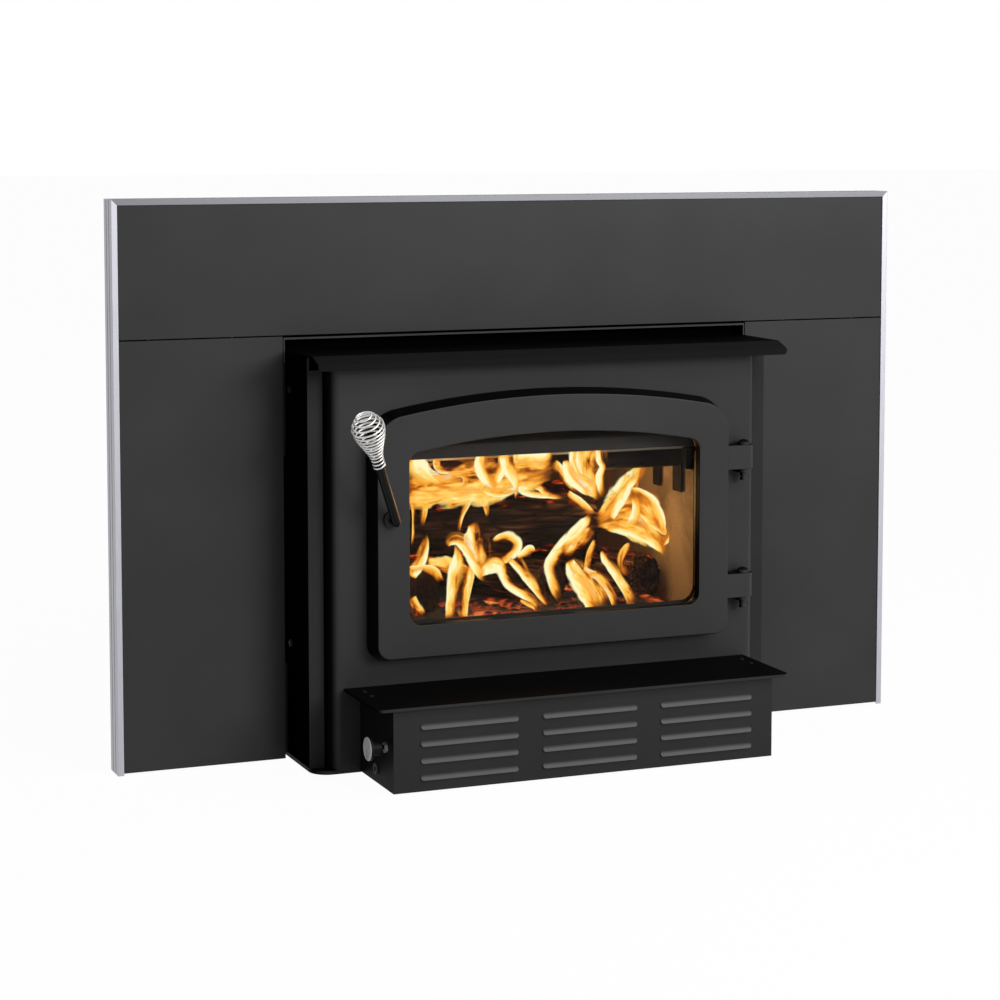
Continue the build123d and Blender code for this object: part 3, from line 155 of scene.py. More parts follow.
def times(colour, share):
    return tuple(share * part for part in colour)


def shades(colour, low, high):
    """A colour darkened and lightened, as two ramp stops."""
    return (0.3, times(colour, low)), (0.7, times(colour, high))


# ---------------------------------------------------------------- finishes of the metalwork
paint_grain = 1150                 # per metre
painted_shade_colour = (0.0012, 0.0012, 0.0012)
painted_shade_edge = 0.001                  # depth over which the painted shade begins
bare_fade = 0.1                    # depth over which bare sheet turns paler
bare_lift = 1.8                    # times the paint's colour
bare_specular = 0.12
# A painted highlight on raised parts: its soft edge, and how many times paler it is.
highlight_edge = 0.0015
highlight_lift = 4
shadow_share = 0.3                 # of the paint's colour


def paint(name, colour, rough, grain_depth, specular=0.12, cloudy=0.03, bare=None, highlight_depth=None,
          shade_turned=None, shadowed=None):
    """Baked stove paint: a fine orange-peel grain and a slightly cloudy sheen.

    bare: two depths. Between them the sheet is black, a painted shade for where it lies in a
    recess. Behind the second it is bare, and slowly gets paler than its paint.
    highlight_depth: the depth in front of which raised parts are painted paler, a painted highlight.
    shade_turned: the share of colour and gloss that faces turned up or to the left keep, and the turn
    at which they start and end to lose it: a painted shade for faces turned from the lamps.
    shadowed: two heights, between which the colour falls to shadow_share, a painted shadow.
    """
    finish = Finish(name, Specular_IOR_Level=specular)
    cloud = finish.noise(7, detail=4)
    coat = finish.ramp(cloud, *shades(colour, 0.9, 1.1))
    # Painted shade: faces turned up or to the left keep only a share of their colour and gloss. The mask
    # named soot here is this painted shade, not soot.
    if shade_turned is not None:
        turn = finish.parts(finish.add("ShaderNodeTexCoord").outputs["Normal"])
        kept, start, end = shade_turned
        soot = finish.math("MAXIMUM", finish.span(turn["Z"], start, end),
                           finish.span(turn["X"], -start, -end))
        coat = finish.mix(soot, coat, times(colour, kept))
        finish.feed("Specular IOR Level", finish.span(soot, 0.0, 1.0, specular, specular * kept))
    # Painted shadow: the colour falls between two heights and stays dark above them.
    if shadowed is not None:
        height = finish.parts(finish.place)["Z"]
        coat = finish.mix(finish.span(height, *shadowed), coat, times(colour, shadow_share))
    # Painted shade: black between two depths, where the sheet lies in a recess; behind them bare sheet,
    # paler than the paint.
    if bare is not None:
        depth = finish.parts(finish.place)["Y"]
        front, back = bare
        coat = finish.mix(finish.span(depth, front, front + painted_shade_edge), coat, painted_shade_colour)
        coat = finish.mix(finish.span(depth, back, back + bare_fade), coat, times(colour, bare_lift))
        finish.feed("Specular IOR Level",
                    finish.span(depth, back, back + bare_fade, specular, bare_specular))
    # Painted highlight: raised parts in front of a depth are paler.
    if highlight_depth is not None:
        depth = finish.parts(finish.place)["Y"]
        coat = finish.mix(finish.span(depth, highlight_depth, highlight_depth - highlight_edge), coat, times(colour, highlight_lift))
    finish.feed("Base Color", coat)
    patches = finish.noise(24, detail=4, rough=0.6)
    finish.feed("Roughness", finish.span(patches, 0.3, 0.7, rough - cloudy, rough + cloudy))
    finish.bump(finish.noise(paint_grain, detail=2), grain_depth)
    return finish.material


def brushed_metal(name, colour, rough, along):
    """Metal brushed along one axis."""
    finish = Finish(name, Metallic=1.0)
    stretch = tuple(0.02 if axis == along else 1.0 for axis in "XYZ")
    lines = finish.noise(1400, detail=3, rough=0.7, stretch=stretch)
    finish.feed("Base Color", finish.ramp(lines, *shades(colour, 0.93, 1.05)))
    finish.feed("Roughness", finish.span(lines, 0.3, 0.7, rough - 0.05, rough + 0.07))
    finish.bump(lines, 0.00002)
    return finish.material


def bare_metal(name, colour, rough):
    """Plated or bare metal with faint handling marks."""
    finish = Finish(name, Metallic=1.0)
    marks = finish.noise(160, detail=5, rough=0.6)
    finish.feed("Base Color", finish.ramp(marks, *shades(colour, 0.88, 1.06)))
    finish.feed("Roughness", finish.span(marks, 0.3, 0.7, rough - 0.06, rough + 0.1))
    finish.bump(finish.noise(900, detail=3), 0.00002)
    return finish.material


def heated_steel(name, dark, warm, rough):
    """Firebox steel with soot, scale and straw-brown heat tint."""
    finish = Finish(name, Metallic=0.35, Specular_IOR_Level=0.05)
    tint = finish.noise(9, detail=5, rough=0.6)
    scale = finish.noise(170, detail=6, rough=0.7)
    colour = finish.mix(finish.span(tint, 0.42, 0.68), dark, warm)
    crust = finish.span(scale, 0.45, 0.75, 0.0, 0.6)
    finish.feed("Base Color", finish.mix(crust, colour, (0.012, 0.011, 0.010)))
    finish.feed("Roughness", finish.span(scale, 0.3, 0.7, rough - 0.1, rough + 0.12))
    finish.bump(scale, 0.0002)
    return finish.material


def moulded_plastic(name, colour, rough):
    finish = Finish(name)
    finish.feed("Base Color", finish.ramp(finish.noise(50, detail=3), *shades(colour, 0.9, 1.1)))
    finish.feed("Roughness", finish.span(finish.noise(220), 0.3, 0.7, rough - 0.04, rough + 0.06))
    finish.bump(finish.noise(1500, detail=2), 0.00003)
    return finish.material


cap_edge = (-0.2886, -0.2892)      # X over which the knob turns pale
mark_side = (0.0011, 0.0008)       # from the knob's axis, where its mark begins and is full
mark_end = 0.001                   # height over the axis at which the mark begins
mark_colour = (0.01, 0.01, 0.01)


def capped_plastic(name, colour, cap):
    """Black moulded plastic, with a pale cap on the face away from the housing and a mark on it."""
    finish = Finish(name, Specular_IOR_Level=0.06)
    spot = finish.parts(finish.place)
    plain = finish.ramp(finish.noise(50, detail=3), *shades(colour, 0.9, 1.1))
    pale = finish.ramp(finish.noise(300, detail=3), *shades(cap, 0.9, 1.05))
    low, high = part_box("speed_knob")
    axis_y, axis_z = (low.y + high.y) / 2, (low.z + high.z) / 2
    aside = finish.math("ABSOLUTE", finish.math("SUBTRACT", spot["Y"], axis_y))
    mark = finish.math("MULTIPLY", finish.span(aside, *mark_side),
                       finish.span(spot["Z"], axis_z + mark_end, axis_z))
    pale = finish.mix(mark, pale, mark_colour)
    finish.feed("Base Color", finish.mix(finish.span(spot["X"], *cap_edge), plain, pale))
    finish.feed("Roughness", finish.span(finish.noise(220), 0.3, 0.7, 0.36, 0.5))
    finish.bump(finish.noise(1500, detail=2), 0.00003)
    return finish.material


def motor_steel(name, colour):
    """Stacked laminations and zinc-coated brackets."""
    finish = Finish(name, Metallic=0.9)
    layers = finish.noise(700, detail=1, stretch=(1, 0.03, 0.03))
    finish.feed("Base Color", finish.ramp(layers, *shades(colour, 0.75, 1.15)))
    finish.feed("Roughness", finish.span(layers, 0.3, 0.7, 0.35, 0.5))
    finish.bump(layers, 0.0001)
    return finish.material


# ---------------------------------------------------------------- finishes of the firebox and soft pieces
def firebrick(name):
    """Pressed brick: sandy grain, pits, and soot that clouds its face."""
    finish = Finish(name, Specular_IOR_Level=0.05)
    grain = finish.noise(420, detail=6, rough=0.75)
    soot = finish.noise(8, detail=6, rough=0.62, warp=0.6)
    clay = finish.ramp(grain, (0.32, (0.22, 0.155, 0.085)), (0.5, (0.36, 0.27, 0.16)),
                       (0.7, (0.46, 0.36, 0.23)))
    clouded = finish.span(soot, 0.46, 0.74, 0.0, 0.85)
    finish.feed("Base Color", finish.mix(clouded, clay, (0.05, 0.034, 0.022)))
    finish.feed("Roughness", finish.span(grain, 0.2, 0.8, 0.8, 0.98))
    pits = finish.noise(130, detail=5, rough=0.7)
    finish.bump(finish.math("ADD", grain, pits), 0.0007)
    return finish.material


def fibre(name, light, dark, clump, depth):
    """Pressed or loose ceramic fibre."""
    finish = Finish(name, Sheen_Weight=0.3, Sheen_Roughness=0.6, Specular_IOR_Level=0.2)
    strands = finish.noise(clump, detail=8, rough=0.75, warp=1.2)
    finish.feed("Base Color", finish.ramp(strands, (0.3, dark), (0.68, light)))
    finish.feed("Roughness", finish.span(strands, 0.2, 0.8, 0.85, 1.0))
    finish.bump(strands, depth)
    return finish.material


def woven_rope(name):
    """Knitted glass-fibre rope, greyed by smoke."""
    finish = Finish(name, Specular_IOR_Level=0.2, Sheen_Weight=0.2)
    knit = finish.add("ShaderNodeTexVoronoi", {"Vector": finish.place, "Scale": 420.0}).outputs["Distance"]
    dust = finish.noise(60, detail=4)
    thread = finish.ramp(knit, (0.0, (0.16, 0.155, 0.145)), (0.6, (0.035, 0.033, 0.031)))
    dusty = finish.span(dust, 0.4, 0.7, 0.0, 0.7)
    finish.feed("Base Color", finish.mix(dusty, thread, (0.03, 0.028, 0.026)))
    finish.feed("Roughness", finish.span(dust, 0.2, 0.8, 0.8, 0.95))
    finish.bump(finish.math("MULTIPLY", knit, -1.0), 0.0012)
    return finish.material


def ceramic_glass(name):
    """Clear ceramic pane, faintly smoky, with a soft haze of smears in its gloss."""
    finish = Finish(name, Alpha=0.10, Specular_IOR_Level=0.25)
    smears = finish.noise(26, detail=5, rough=0.6, stretch=(1, 1, 0.4))
    smoke = finish.ramp(smears, (0.35, (0.010, 0.008, 0.006)), (0.7, (0.030, 0.024, 0.018)))
    finish.feed("Base Color", smoke)
    finish.feed("Roughness", finish.span(smears, 0.3, 0.7, 0.03, 0.12))
    return finish.material


# ---------------------------------------------------------------- mesh helpers
def new_object(name, mesh, body, finish):
    """A piece of the object that rides on a body and takes its finish from a slot."""
    piece = bpy.data.objects.new(name, mesh)
    mesh.materials.append(finish)
    scene.collection.objects.link(piece)
    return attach(piece, body)


def grid_mesh(name, rows, closed=False):
    """A smooth surface through rows of points; closed joins each row's ends."""
    width = len(rows[0])
    across = width if closed else width - 1
    faces = [(i * width + j, i * width + (j + 1) % width,
              (i + 1) * width + (j + 1) % width, (i + 1) * width + j)
             for i in range(len(rows) - 1) for j in range(across)]
    mesh = bpy.data.meshes.new(name)
    mesh.from_pydata([point for row in rows for point in row], [], faces)
    mesh.shade_smooth()
    return mesh


def set_attribute(mesh, name, values, kind="FLOAT"):
    """One number or vector for each vertex, for the material to read."""
    layer = mesh.attributes.new(name, kind, "POINT")
    key = "value" if kind == "FLOAT" else "vector"
    flat = values if kind == "FLOAT" else [part for value in values for part in value]
    layer.data.foreach_set(key, flat)


def smooth(low, high, value):
    """0 below low, 1 above high, and an S-curve between."""
    t = min(max((value - low) / (high - low), 0), 1)
    return t * t * (3 - 2 * t)


def solids_of(node):
    """The vertices of each separate solid of a CAD node, always in the same order."""
    work = bmesh.new()
    work.from_mesh(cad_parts[node].data)
    bmesh.ops.remove_doubles(work, verts=work.verts, dist=1e-6)
    left = set(work.verts)
    solids = []
    while left:
        found = [left.pop()]
        for vert in found:
            near = {edge.other_vert(vert) for edge in vert.link_edges} & left
            left -= near
            found.extend(near)
        solids.append(sorted((vert.co.copy() for vert in found), key=tuple))
    work.free()
    return sorted(solids, key=lambda points: sum(p.x for p in points) / len(points))


# ---------------------------------------------------------------- spring grip
grip_wire = 0.0024
grip_turns = 16
grip_neck_radius = 0.0073
grip_bulb_radius = 0.0206
grip_end_radius = 0.0090
grip_neck_end = 0.13               # share of the grip's length
grip_widest = 0.78
grip_length = 0.086
rod_direction = Vector((-0.45, -0.46, 1)).normalized()
grip_first_angle = 3.0
steps_per_turn = 28


def grip_radius(fraction):
    """Radius of the coil's centre line along the grip, from neck to open end."""
    if fraction < grip_neck_end:
        return grip_neck_radius
    if fraction < grip_widest:
        rise = (fraction - grip_neck_end) / (grip_widest - grip_neck_end)
        return grip_neck_radius + (grip_bulb_radius - grip_neck_radius) * (1 - cos(pi * rise)) / 2
    fall = (fraction - grip_widest) / (1 - grip_widest)
    return grip_bulb_radius - (grip_bulb_radius - grip_end_radius) * fall ** 1.2


def spring_grip():
    """The wound wire, in place of the frame's ribbed bulb."""
    ribs = [point for solid in solids_of("spring_grip") for point in solid]
    heights = [point.dot(rod_direction) for point in ribs]
    middle = sum(ribs, Vector()) / len(ribs)
    foot = middle + rod_direction * (min(heights) - middle.dot(rod_direction))
    side = rod_direction.cross(Vector((0, 1, 0))).normalized()
    front = rod_direction.cross(side)
    curve = bpy.data.curves.new("spring_coil", "CURVE")
    curve.dimensions = "3D"
    curve.bevel_depth = grip_wire / 2
    curve.bevel_resolution = 4
    curve.use_fill_caps = True
    count = (grip_turns - 1) * steps_per_turn + 1
    wire = curve.splines.new("POLY")
    wire.points.add(count - 1)
    for index, point in enumerate(wire.points):
        fraction = index / (count - 1)
        angle = 2 * pi * index / steps_per_turn + grip_first_angle
        radius = grip_radius(fraction)
        height = grip_wire / 2 + fraction * (grip_length - grip_wire)
        place = foot + rod_direction * height + radius * (cos(angle) * side + sin(angle) * front)
        point.co = (*place, 1)
    wire.use_smooth = True
    coil = new_object("spring_coil", curve, "handle", finishes["spring_wire"])
    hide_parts("spring_grip")


# ---------------------------------------------------------------- logs
log_around = 120
log_rings = 110
cap_rings = 14
log_swell = 0.05                   # share of the radius
bark_relief = 0.0045
bark_inset = 0.001
end_wear = 0.004
rim_share = 0.97                   # of the radius, outside which an end is bark
lower_log_looks = ((0.25, 0.3), (0.5, 0.5), (1.0, 0.8))        # bark left, glow on top
upper_log_looks = ((0.15, 0.8), (0.5, 0.9))


def log_frame(points):
    """Middle, axis, length and radius of a log solid that lies level."""
    middle = sum(points, Vector()) / len(points)
    xx = sum((p.x - middle.x) ** 2 for p in points)
    yy = sum((p.y - middle.y) ** 2 for p in points)
    xy = sum((p.x - middle.x) * (p.y - middle.y) for p in points)
    turn = 0.5 * atan2(2 * xy, xx - yy)
    axis = Vector((cos(turn), sin(turn), 0))
    reach = [(p - middle).dot(axis) for p in points]
    heights = [p.z for p in points]
    middle.z = (min(heights) + max(heights)) / 2
    return middle, axis, max(reach) - min(reach), (max(heights) - min(heights)) / 2


def bark_height(along, angle, seed):
    """Height of the charred bark, from 0 in its cracks to 1 on its plates, and the crack's depth."""
    place = Vector((along * 17, cos(angle) * 4.6, sin(angle) * 4.6)) + Vector((seed * 7.1, seed, 0))
    place += 0.5 * noise.noise_vector(place * 0.7)
    near = noise.voronoi(place)[0]
    crack = 1 - smooth(0.02, 0.24, near[1] - near[0])
    grain = noise.fractal(Vector((along * 9, cos(angle) * 16, sin(angle) * 16 + seed)), 0.8, 2.2, 5)
    return 0.5 * (1 - crack) + 0.55 * grain, crack


def log_piece(name, points, seed, bark, glow_top):
    """A split and charred log where the frame has one: bark plates, grain, cracks and worn ends.

    bark is how much brown bark is left, and glow_top how far its upper edge glows.
    """
    middle, axis, length, flat = log_frame(points)
    side = Vector((0, 0, 1)).cross(axis)
    rows, local, crack_of, glow_of = [], [], [], []

    def ring(offset, shrink, inset):
        row = []
        for j in range(log_around):
            angle = 2 * pi * j / log_around
            swell = noise.noise(Vector((offset * 6, cos(angle) * 0.8, sin(angle) * 0.8 + seed * 3)))
            height, crack = bark_height(offset, angle, seed)
            radius = flat * (1.0 + log_swell * swell) + bark_relief * (height - 0.5) - bark_inset
            worn = noise.noise(Vector((cos(angle) * 3, sin(angle) * 3, seed + shrink * 5)))
            wear = inset * end_wear * (1 + worn)
            across = Vector((cos(angle), sin(angle))) * radius * shrink
            across.y = max(across.y, -flat)
            spot = middle + axis * (offset - wear * (1 if offset > 0 else -1)) + side * across.x
            spot.z += across.y
            row.append(spot)
            local.append((offset, across.x, across.y))
            split = 0.5 * smooth(0.1, 0.6, noise.noise(Vector((angle * 4, seed, 0))))
            crack_of.append(crack if shrink > rim_share else split)
            heat = smooth(0.55, 1.0, sin(angle)) * glow_top + smooth(-0.55, -0.95, sin(angle))
            glow_of.append(min(heat + 0.5 * (1 - shrink) * glow_top, 1))
        rows.append(row)

    for k in range(cap_rings):
        ring(-length / 2, (k + 0.3) / cap_rings, 1)
    for i in range(log_rings + 1):
        ring(-length / 2 + length * i / log_rings, 1, 1 if i in (0, log_rings) else 0)
    for k in reversed(range(cap_rings)):
        ring(length / 2, (k + 0.3) / cap_rings, 1)
    mesh = grid_mesh(name, rows, closed=True)
    set_attribute(mesh, "local", local, "FLOAT_VECTOR")
    set_attribute(mesh, "crack", crack_of)
    set_attribute(mesh, "glow", glow_of)
    set_attribute(mesh, "bark", [bark] * len(local))
    return new_object(name, mesh, "root", finishes["bark"])


def charred_wood(name):
    """Brown bark and black char, ash-grey edges, and embers in the cracks of the hot parts."""
    finish = Finish(name, Specular_IOR_Level=0.04, Emission_Strength=1.5)
    local = finish.vector("local")
    crack = finish.attribute("crack")
    grain = finish.noise(260, detail=6, rough=0.7, stretch=(0.07, 1, 1), place=local)
    patches = finish.noise(17, detail=5, rough=0.6, stretch=(0.5, 1, 1), place=local, warp=0.8)
    wood = finish.ramp(grain, (0.38, (0.004, 0.002, 0.0015)), (0.52, (0.11, 0.046, 0.023)),
                       (0.66, (0.42, 0.20, 0.11)))
    char = finish.ramp(grain, (0.42, (0.001, 0.001, 0.001)), (0.66, (0.016, 0.010, 0.008)))
    left = finish.math("MULTIPLY", finish.span(patches, 0.36, 0.60), finish.attribute("bark"), clamp=True)
    colour = finish.mix(left, char, wood)
    ash = finish.noise(75, detail=7, rough=0.8, place=local)
    ash_share = finish.span(ash, 0.66, 0.78, 0.0, 0.25)
    colour = finish.mix(ash_share, colour, (0.30, 0.27, 0.25))
    finish.feed("Base Color", finish.mix(crack, colour, (0.002, 0.0015, 0.001)))
    finish.feed("Roughness", finish.span(grain, 0.3, 0.7, 0.62, 0.92))
    live = finish.span(finish.noise(42, detail=5, rough=0.7, place=local), 0.45, 0.64)
    heat = finish.math("MULTIPLY", live, finish.attribute("glow"))
    spread = finish.math("ADD", finish.math("MULTIPLY", crack, 0.75),
                         finish.span(grain, 0.55, 0.8, 0.0, 0.55))
    heat = finish.math("MULTIPLY", heat, spread, clamp=True)
    finish.feed("Emission Color", finish.ramp(heat, (0.06, (0, 0, 0)), (0.3, (0.28, 0.018, 0.002)),
                                              (0.6, (0.95, 0.17, 0.02)), (0.95, (1.0, 0.50, 0.14))))
    finish.bump(finish.math("SUBTRACT", grain, finish.math("MULTIPLY", crack, 0.6)), 0.0014)
    return finish.material


def log_layer(layer, first_seed, looks):
    """The logs of a layer from left to right, each with its share of bark and its glow on top."""
    return [log_piece(f"log_{layer}_{index + 1}", points, index + first_seed, bark, glow_top)
            for index, (points, (bark, glow_top)) in enumerate(zip(solids_of(f"logs_{layer}"), looks))]


def make_logs():
    lower = log_layer("lower", 1, lower_log_looks)
    upper = log_layer("upper", 5, upper_log_looks)
    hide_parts("logs_lower")
    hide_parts("logs_upper")


# ---------------------------------------------------------------- ember bed
bed_step = 0.0035
bed_gap = 0.002                    # to the bricks
bed_front_gap = 0.004
bed_lift = 0.0006                  # over the brick floor
bed_slope = 0.035                  # width of the slope along the edges
bed_least = 0.004
heap_height = 0.011
coal_height = 0.007


def brick_thickness():
    """Thickness of a firebrick, from the floor course."""
    low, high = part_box("firebricks_floor")
    return high.z - low.z


def ember_bed():
    """Ash and live coals on the brick floor, heaped towards the middle."""
    floor_low, floor_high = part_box("firebricks_floor")
    walls_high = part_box("firebricks_walls")[1]
    wall = walls_high.x - brick_thickness()
    x0, x1 = -wall + bed_gap, wall - bed_gap
    y0, y1 = floor_low.y + bed_front_gap, walls_high.y - brick_thickness() - bed_gap
    columns = int((x1 - x0) / bed_step)
    lines = int((y1 - y0) / bed_step)
    rows, coal_of = [], []
    for i in range(lines + 1):
        y = y0 + (y1 - y0) * i / lines
        row = []
        for j in range(columns + 1):
            x = x0 + (x1 - x0) * j / columns
            near = noise.voronoi(Vector((x * 62, y * 62, 3)))[0]
            coal = smooth(0.05, 0.5, near[1] - near[0])
            heap = 0.5 + 0.5 * noise.noise(Vector((x * 9, y * 9, 5)))
            edge = smooth(0, bed_slope, min(y - y0, y1 - y, x - x0, x1 - x))
            rise = edge * (bed_least + heap_height * heap + coal_height * coal * heap)
            row.append((x, y, floor_high.z + bed_lift + rise))
            coal_of.append(coal)
        rows.append(row)
    mesh = grid_mesh("ember_bed", rows)
    set_attribute(mesh, "coal", coal_of)
    new_object("ember_bed", mesh, "root", coals("ember_bed"))


def coals(name):
    """Grey ash over coals that glow in the gaps between them."""
    finish = Finish(name, Specular_IOR_Level=0.04, Emission_Strength=0.9)
    coal = finish.attribute("coal")
    dust = finish.noise(120, detail=7, rough=0.75)
    ash = finish.ramp(dust, (0.35, (0.02, 0.018, 0.017)), (0.7, (0.055, 0.047, 0.042)))
    top = finish.span(coal, 0.2, 0.9, 0.0, 0.85)
    finish.feed("Base Color", finish.mix(top, ash, (0.008, 0.006, 0.005)))
    finish.feed("Roughness", finish.span(dust, 0.3, 0.7, 0.8, 1.0))
    live = finish.span(finish.noise(19, detail=5, rough=0.65), 0.48, 0.72)
    gaps = finish.span(coal, 0.55, 0.0)
    heat = finish.math("MULTIPLY", live, finish.math("ADD", gaps, 0.12), clamp=True)
    finish.feed("Emission Color", finish.ramp(heat, (0.05, (0, 0, 0)), (0.35, (0.42, 0.03, 0.003)),
                                              (0.7, (1.0, 0.24, 0.03)), (1.0, (1.0, 0.62, 0.2))))
    finish.bump(dust, 0.002)
    return finish.material


# ---------------------------------------------------------------- flames
door_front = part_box("door_frame")[0].y
flame_around = 13
flame_steps = 9                    # between two stations
flame_width = 1.45                 # times a station's half width
flame_least = 0.4                  # mm
flame_bulge = 0.5                  # of the half width, towards the camera
flame_crisp = 0.95                 # of the half width, where the palest streak runs
streak_across = 0.06               # turns mm into the streaks' own scale
streak_along = 0.015
streak_apart = 3.7


def behind(x, z, y):
    """The point at depth y on the camera's sight line through (x, z) mm of the window's front plane."""
    window = Vector((x / 1000, door_front, z / 1000))
    return camera_place + (window - camera_place) * ((y - camera_place.y) / (door_front - camera_place.y))


def bezier_chain(stations, steps):
    """Points of a smooth line through the stations, each a tuple of numbers."""
    ends = [stations[0], *stations, stations[-1]]
    line = []
    for a, b, c, d in zip(ends, ends[1:], ends[2:], ends[3:]):
        for k in range(steps):
            t = k / steps
            line.append(tuple(0.5 * (2 * q + (r - p) * t + (2 * p - 5 * q + 4 * r - s) * t * t
                                     + (3 * q - p - 3 * r + s) * t ** 3) for p, q, r, s in zip(a, b, c, d)))
    line.append(tuple(stations[-1]))
    return line


def tongue(number, depth, hotness, side, stations):
    """A flame: a curved ribbon through (x, z, half width) stations in mm of the window's plane.

    side is 1 or -1, the edge along which its palest streak runs, and which is the crisper one.
    """
    line = bezier_chain(stations, flame_steps)
    rows, across_of, along_of, flow_of = [], [], [], []
    travelled = 0.0
    for index, (x, z, half) in enumerate(line):
        before, after = line[max(index - 1, 0)], line[min(index + 1, len(line) - 1)]
        run = Vector((after[0] - before[0], after[1] - before[1])).normalized()
        row = []
        for k in range(flame_around):
            across = 2 * k / (flame_around - 1) - 1
            reach = across * max(half, flame_least) * flame_width
            bulge = flame_bulge * half / 1000 * (1 - across ** 2)
            row.append(behind(x + run.y * reach, z - run.x * reach, depth - bulge))
            across_of.append(across)
            along_of.append(index / (len(line) - 1))
            flow_of.append((reach * streak_across, travelled * streak_along, number * streak_apart))
        rows.append(row)
        travelled += Vector((after[0] - x, after[1] - z)).length
    name = f"flame_{number:02d}"
    mesh = grid_mesh(name, rows)
    set_attribute(mesh, "across", across_of)
    set_attribute(mesh, "along", along_of)
    set_attribute(mesh, "hotness", [hotness] * len(along_of))
    set_attribute(mesh, "lean", [side * flame_crisp] * len(along_of))
    set_attribute(mesh, "flow", flow_of, "FLOAT_VECTOR")
    return new_object(name, mesh, "root", finishes["flame"])


def flame_finish(name):
    """Glowing gas: pale where it is hot, gold to orange towards its soft, see-through edges."""
    finish = Finish(name, Base_Color=(0, 0, 0, 1), Roughness=1.0, Specular_IOR_Level=0.0,
                    Emission_Strength=1.25)
    across, along, hotness, lean = (finish.attribute(key) for key in ("across", "along", "hotness", "lean"))
    streak = finish.noise(1.0, detail=3, rough=0.55, place=finish.vector("flow"), warp=0.9)
    strand = finish.noise(2.6, detail=2, rough=0.5, place=finish.vector("flow"), warp=0.5)
    curl = finish.noise(38, detail=2, rough=0.45, stretch=(1, 1, 0.6), warp=0.8)
    wander = finish.math("MULTIPLY", finish.math("SUBTRACT", finish.math("ADD", curl, streak), 1.0), 0.6)
    bent = finish.math("ADD", across, wander)
    reach = finish.math("SUBTRACT", 1.0, finish.math("ABSOLUTE", bent))
    side = finish.math("ABSOLUTE", finish.math("SUBTRACT", bent, lean))
    width = finish.math("ADD", 1.0, finish.math("ABSOLUTE", lean))
    core = finish.math("MAXIMUM", finish.math("SUBTRACT", 1.0, finish.math("DIVIDE", side, width)), 0.0)
    ends = finish.math("MULTIPLY", finish.ease(along, 0.0, 0.16), finish.ease(along, 1.0, 0.60))
    ripple = finish.math("SUBTRACT", finish.math("ADD", streak, finish.math("MULTIPLY", strand, 0.6)), 0.83)
    glow = finish.math("MULTIPLY", finish.math("POWER", core, 1.5), finish.math("MULTIPLY", hotness, 1.4))
    glow = finish.math("ADD", glow, finish.math("MULTIPLY", ripple, 1.5))
    glow = finish.math("MULTIPLY", glow, finish.span(ends, 0.1, 0.9, 0.2, 1.0))
    fire = finish.ramp(glow, (0.02, (0.30, 0.040, 0.002)), (0.16, (0.70, 0.17, 0.008)),
                       (0.32, (0.96, 0.35, 0.026)), (0.50, (1.0, 0.53, 0.08)),
                       (0.70, (1.0, 0.72, 0.19)), (0.94, (1.0, 0.92, 0.52)))
    finish.feed("Emission Color", fire)
    solid = finish.math("MULTIPLY", finish.ease(reach, 0.0, 0.22), finish.ease(core, 0.0, 0.5))
    solid = finish.math("MULTIPLY", solid, finish.ease(ends, 0.0, 0.5))
    thin = finish.span(glow, 0.0, 0.42, 0.06, 1.0)
    finish.feed("Alpha", finish.math("MULTIPLY", solid, thin))
    finish.material.cycles.emission_sampling = "NONE"
    return finish.material


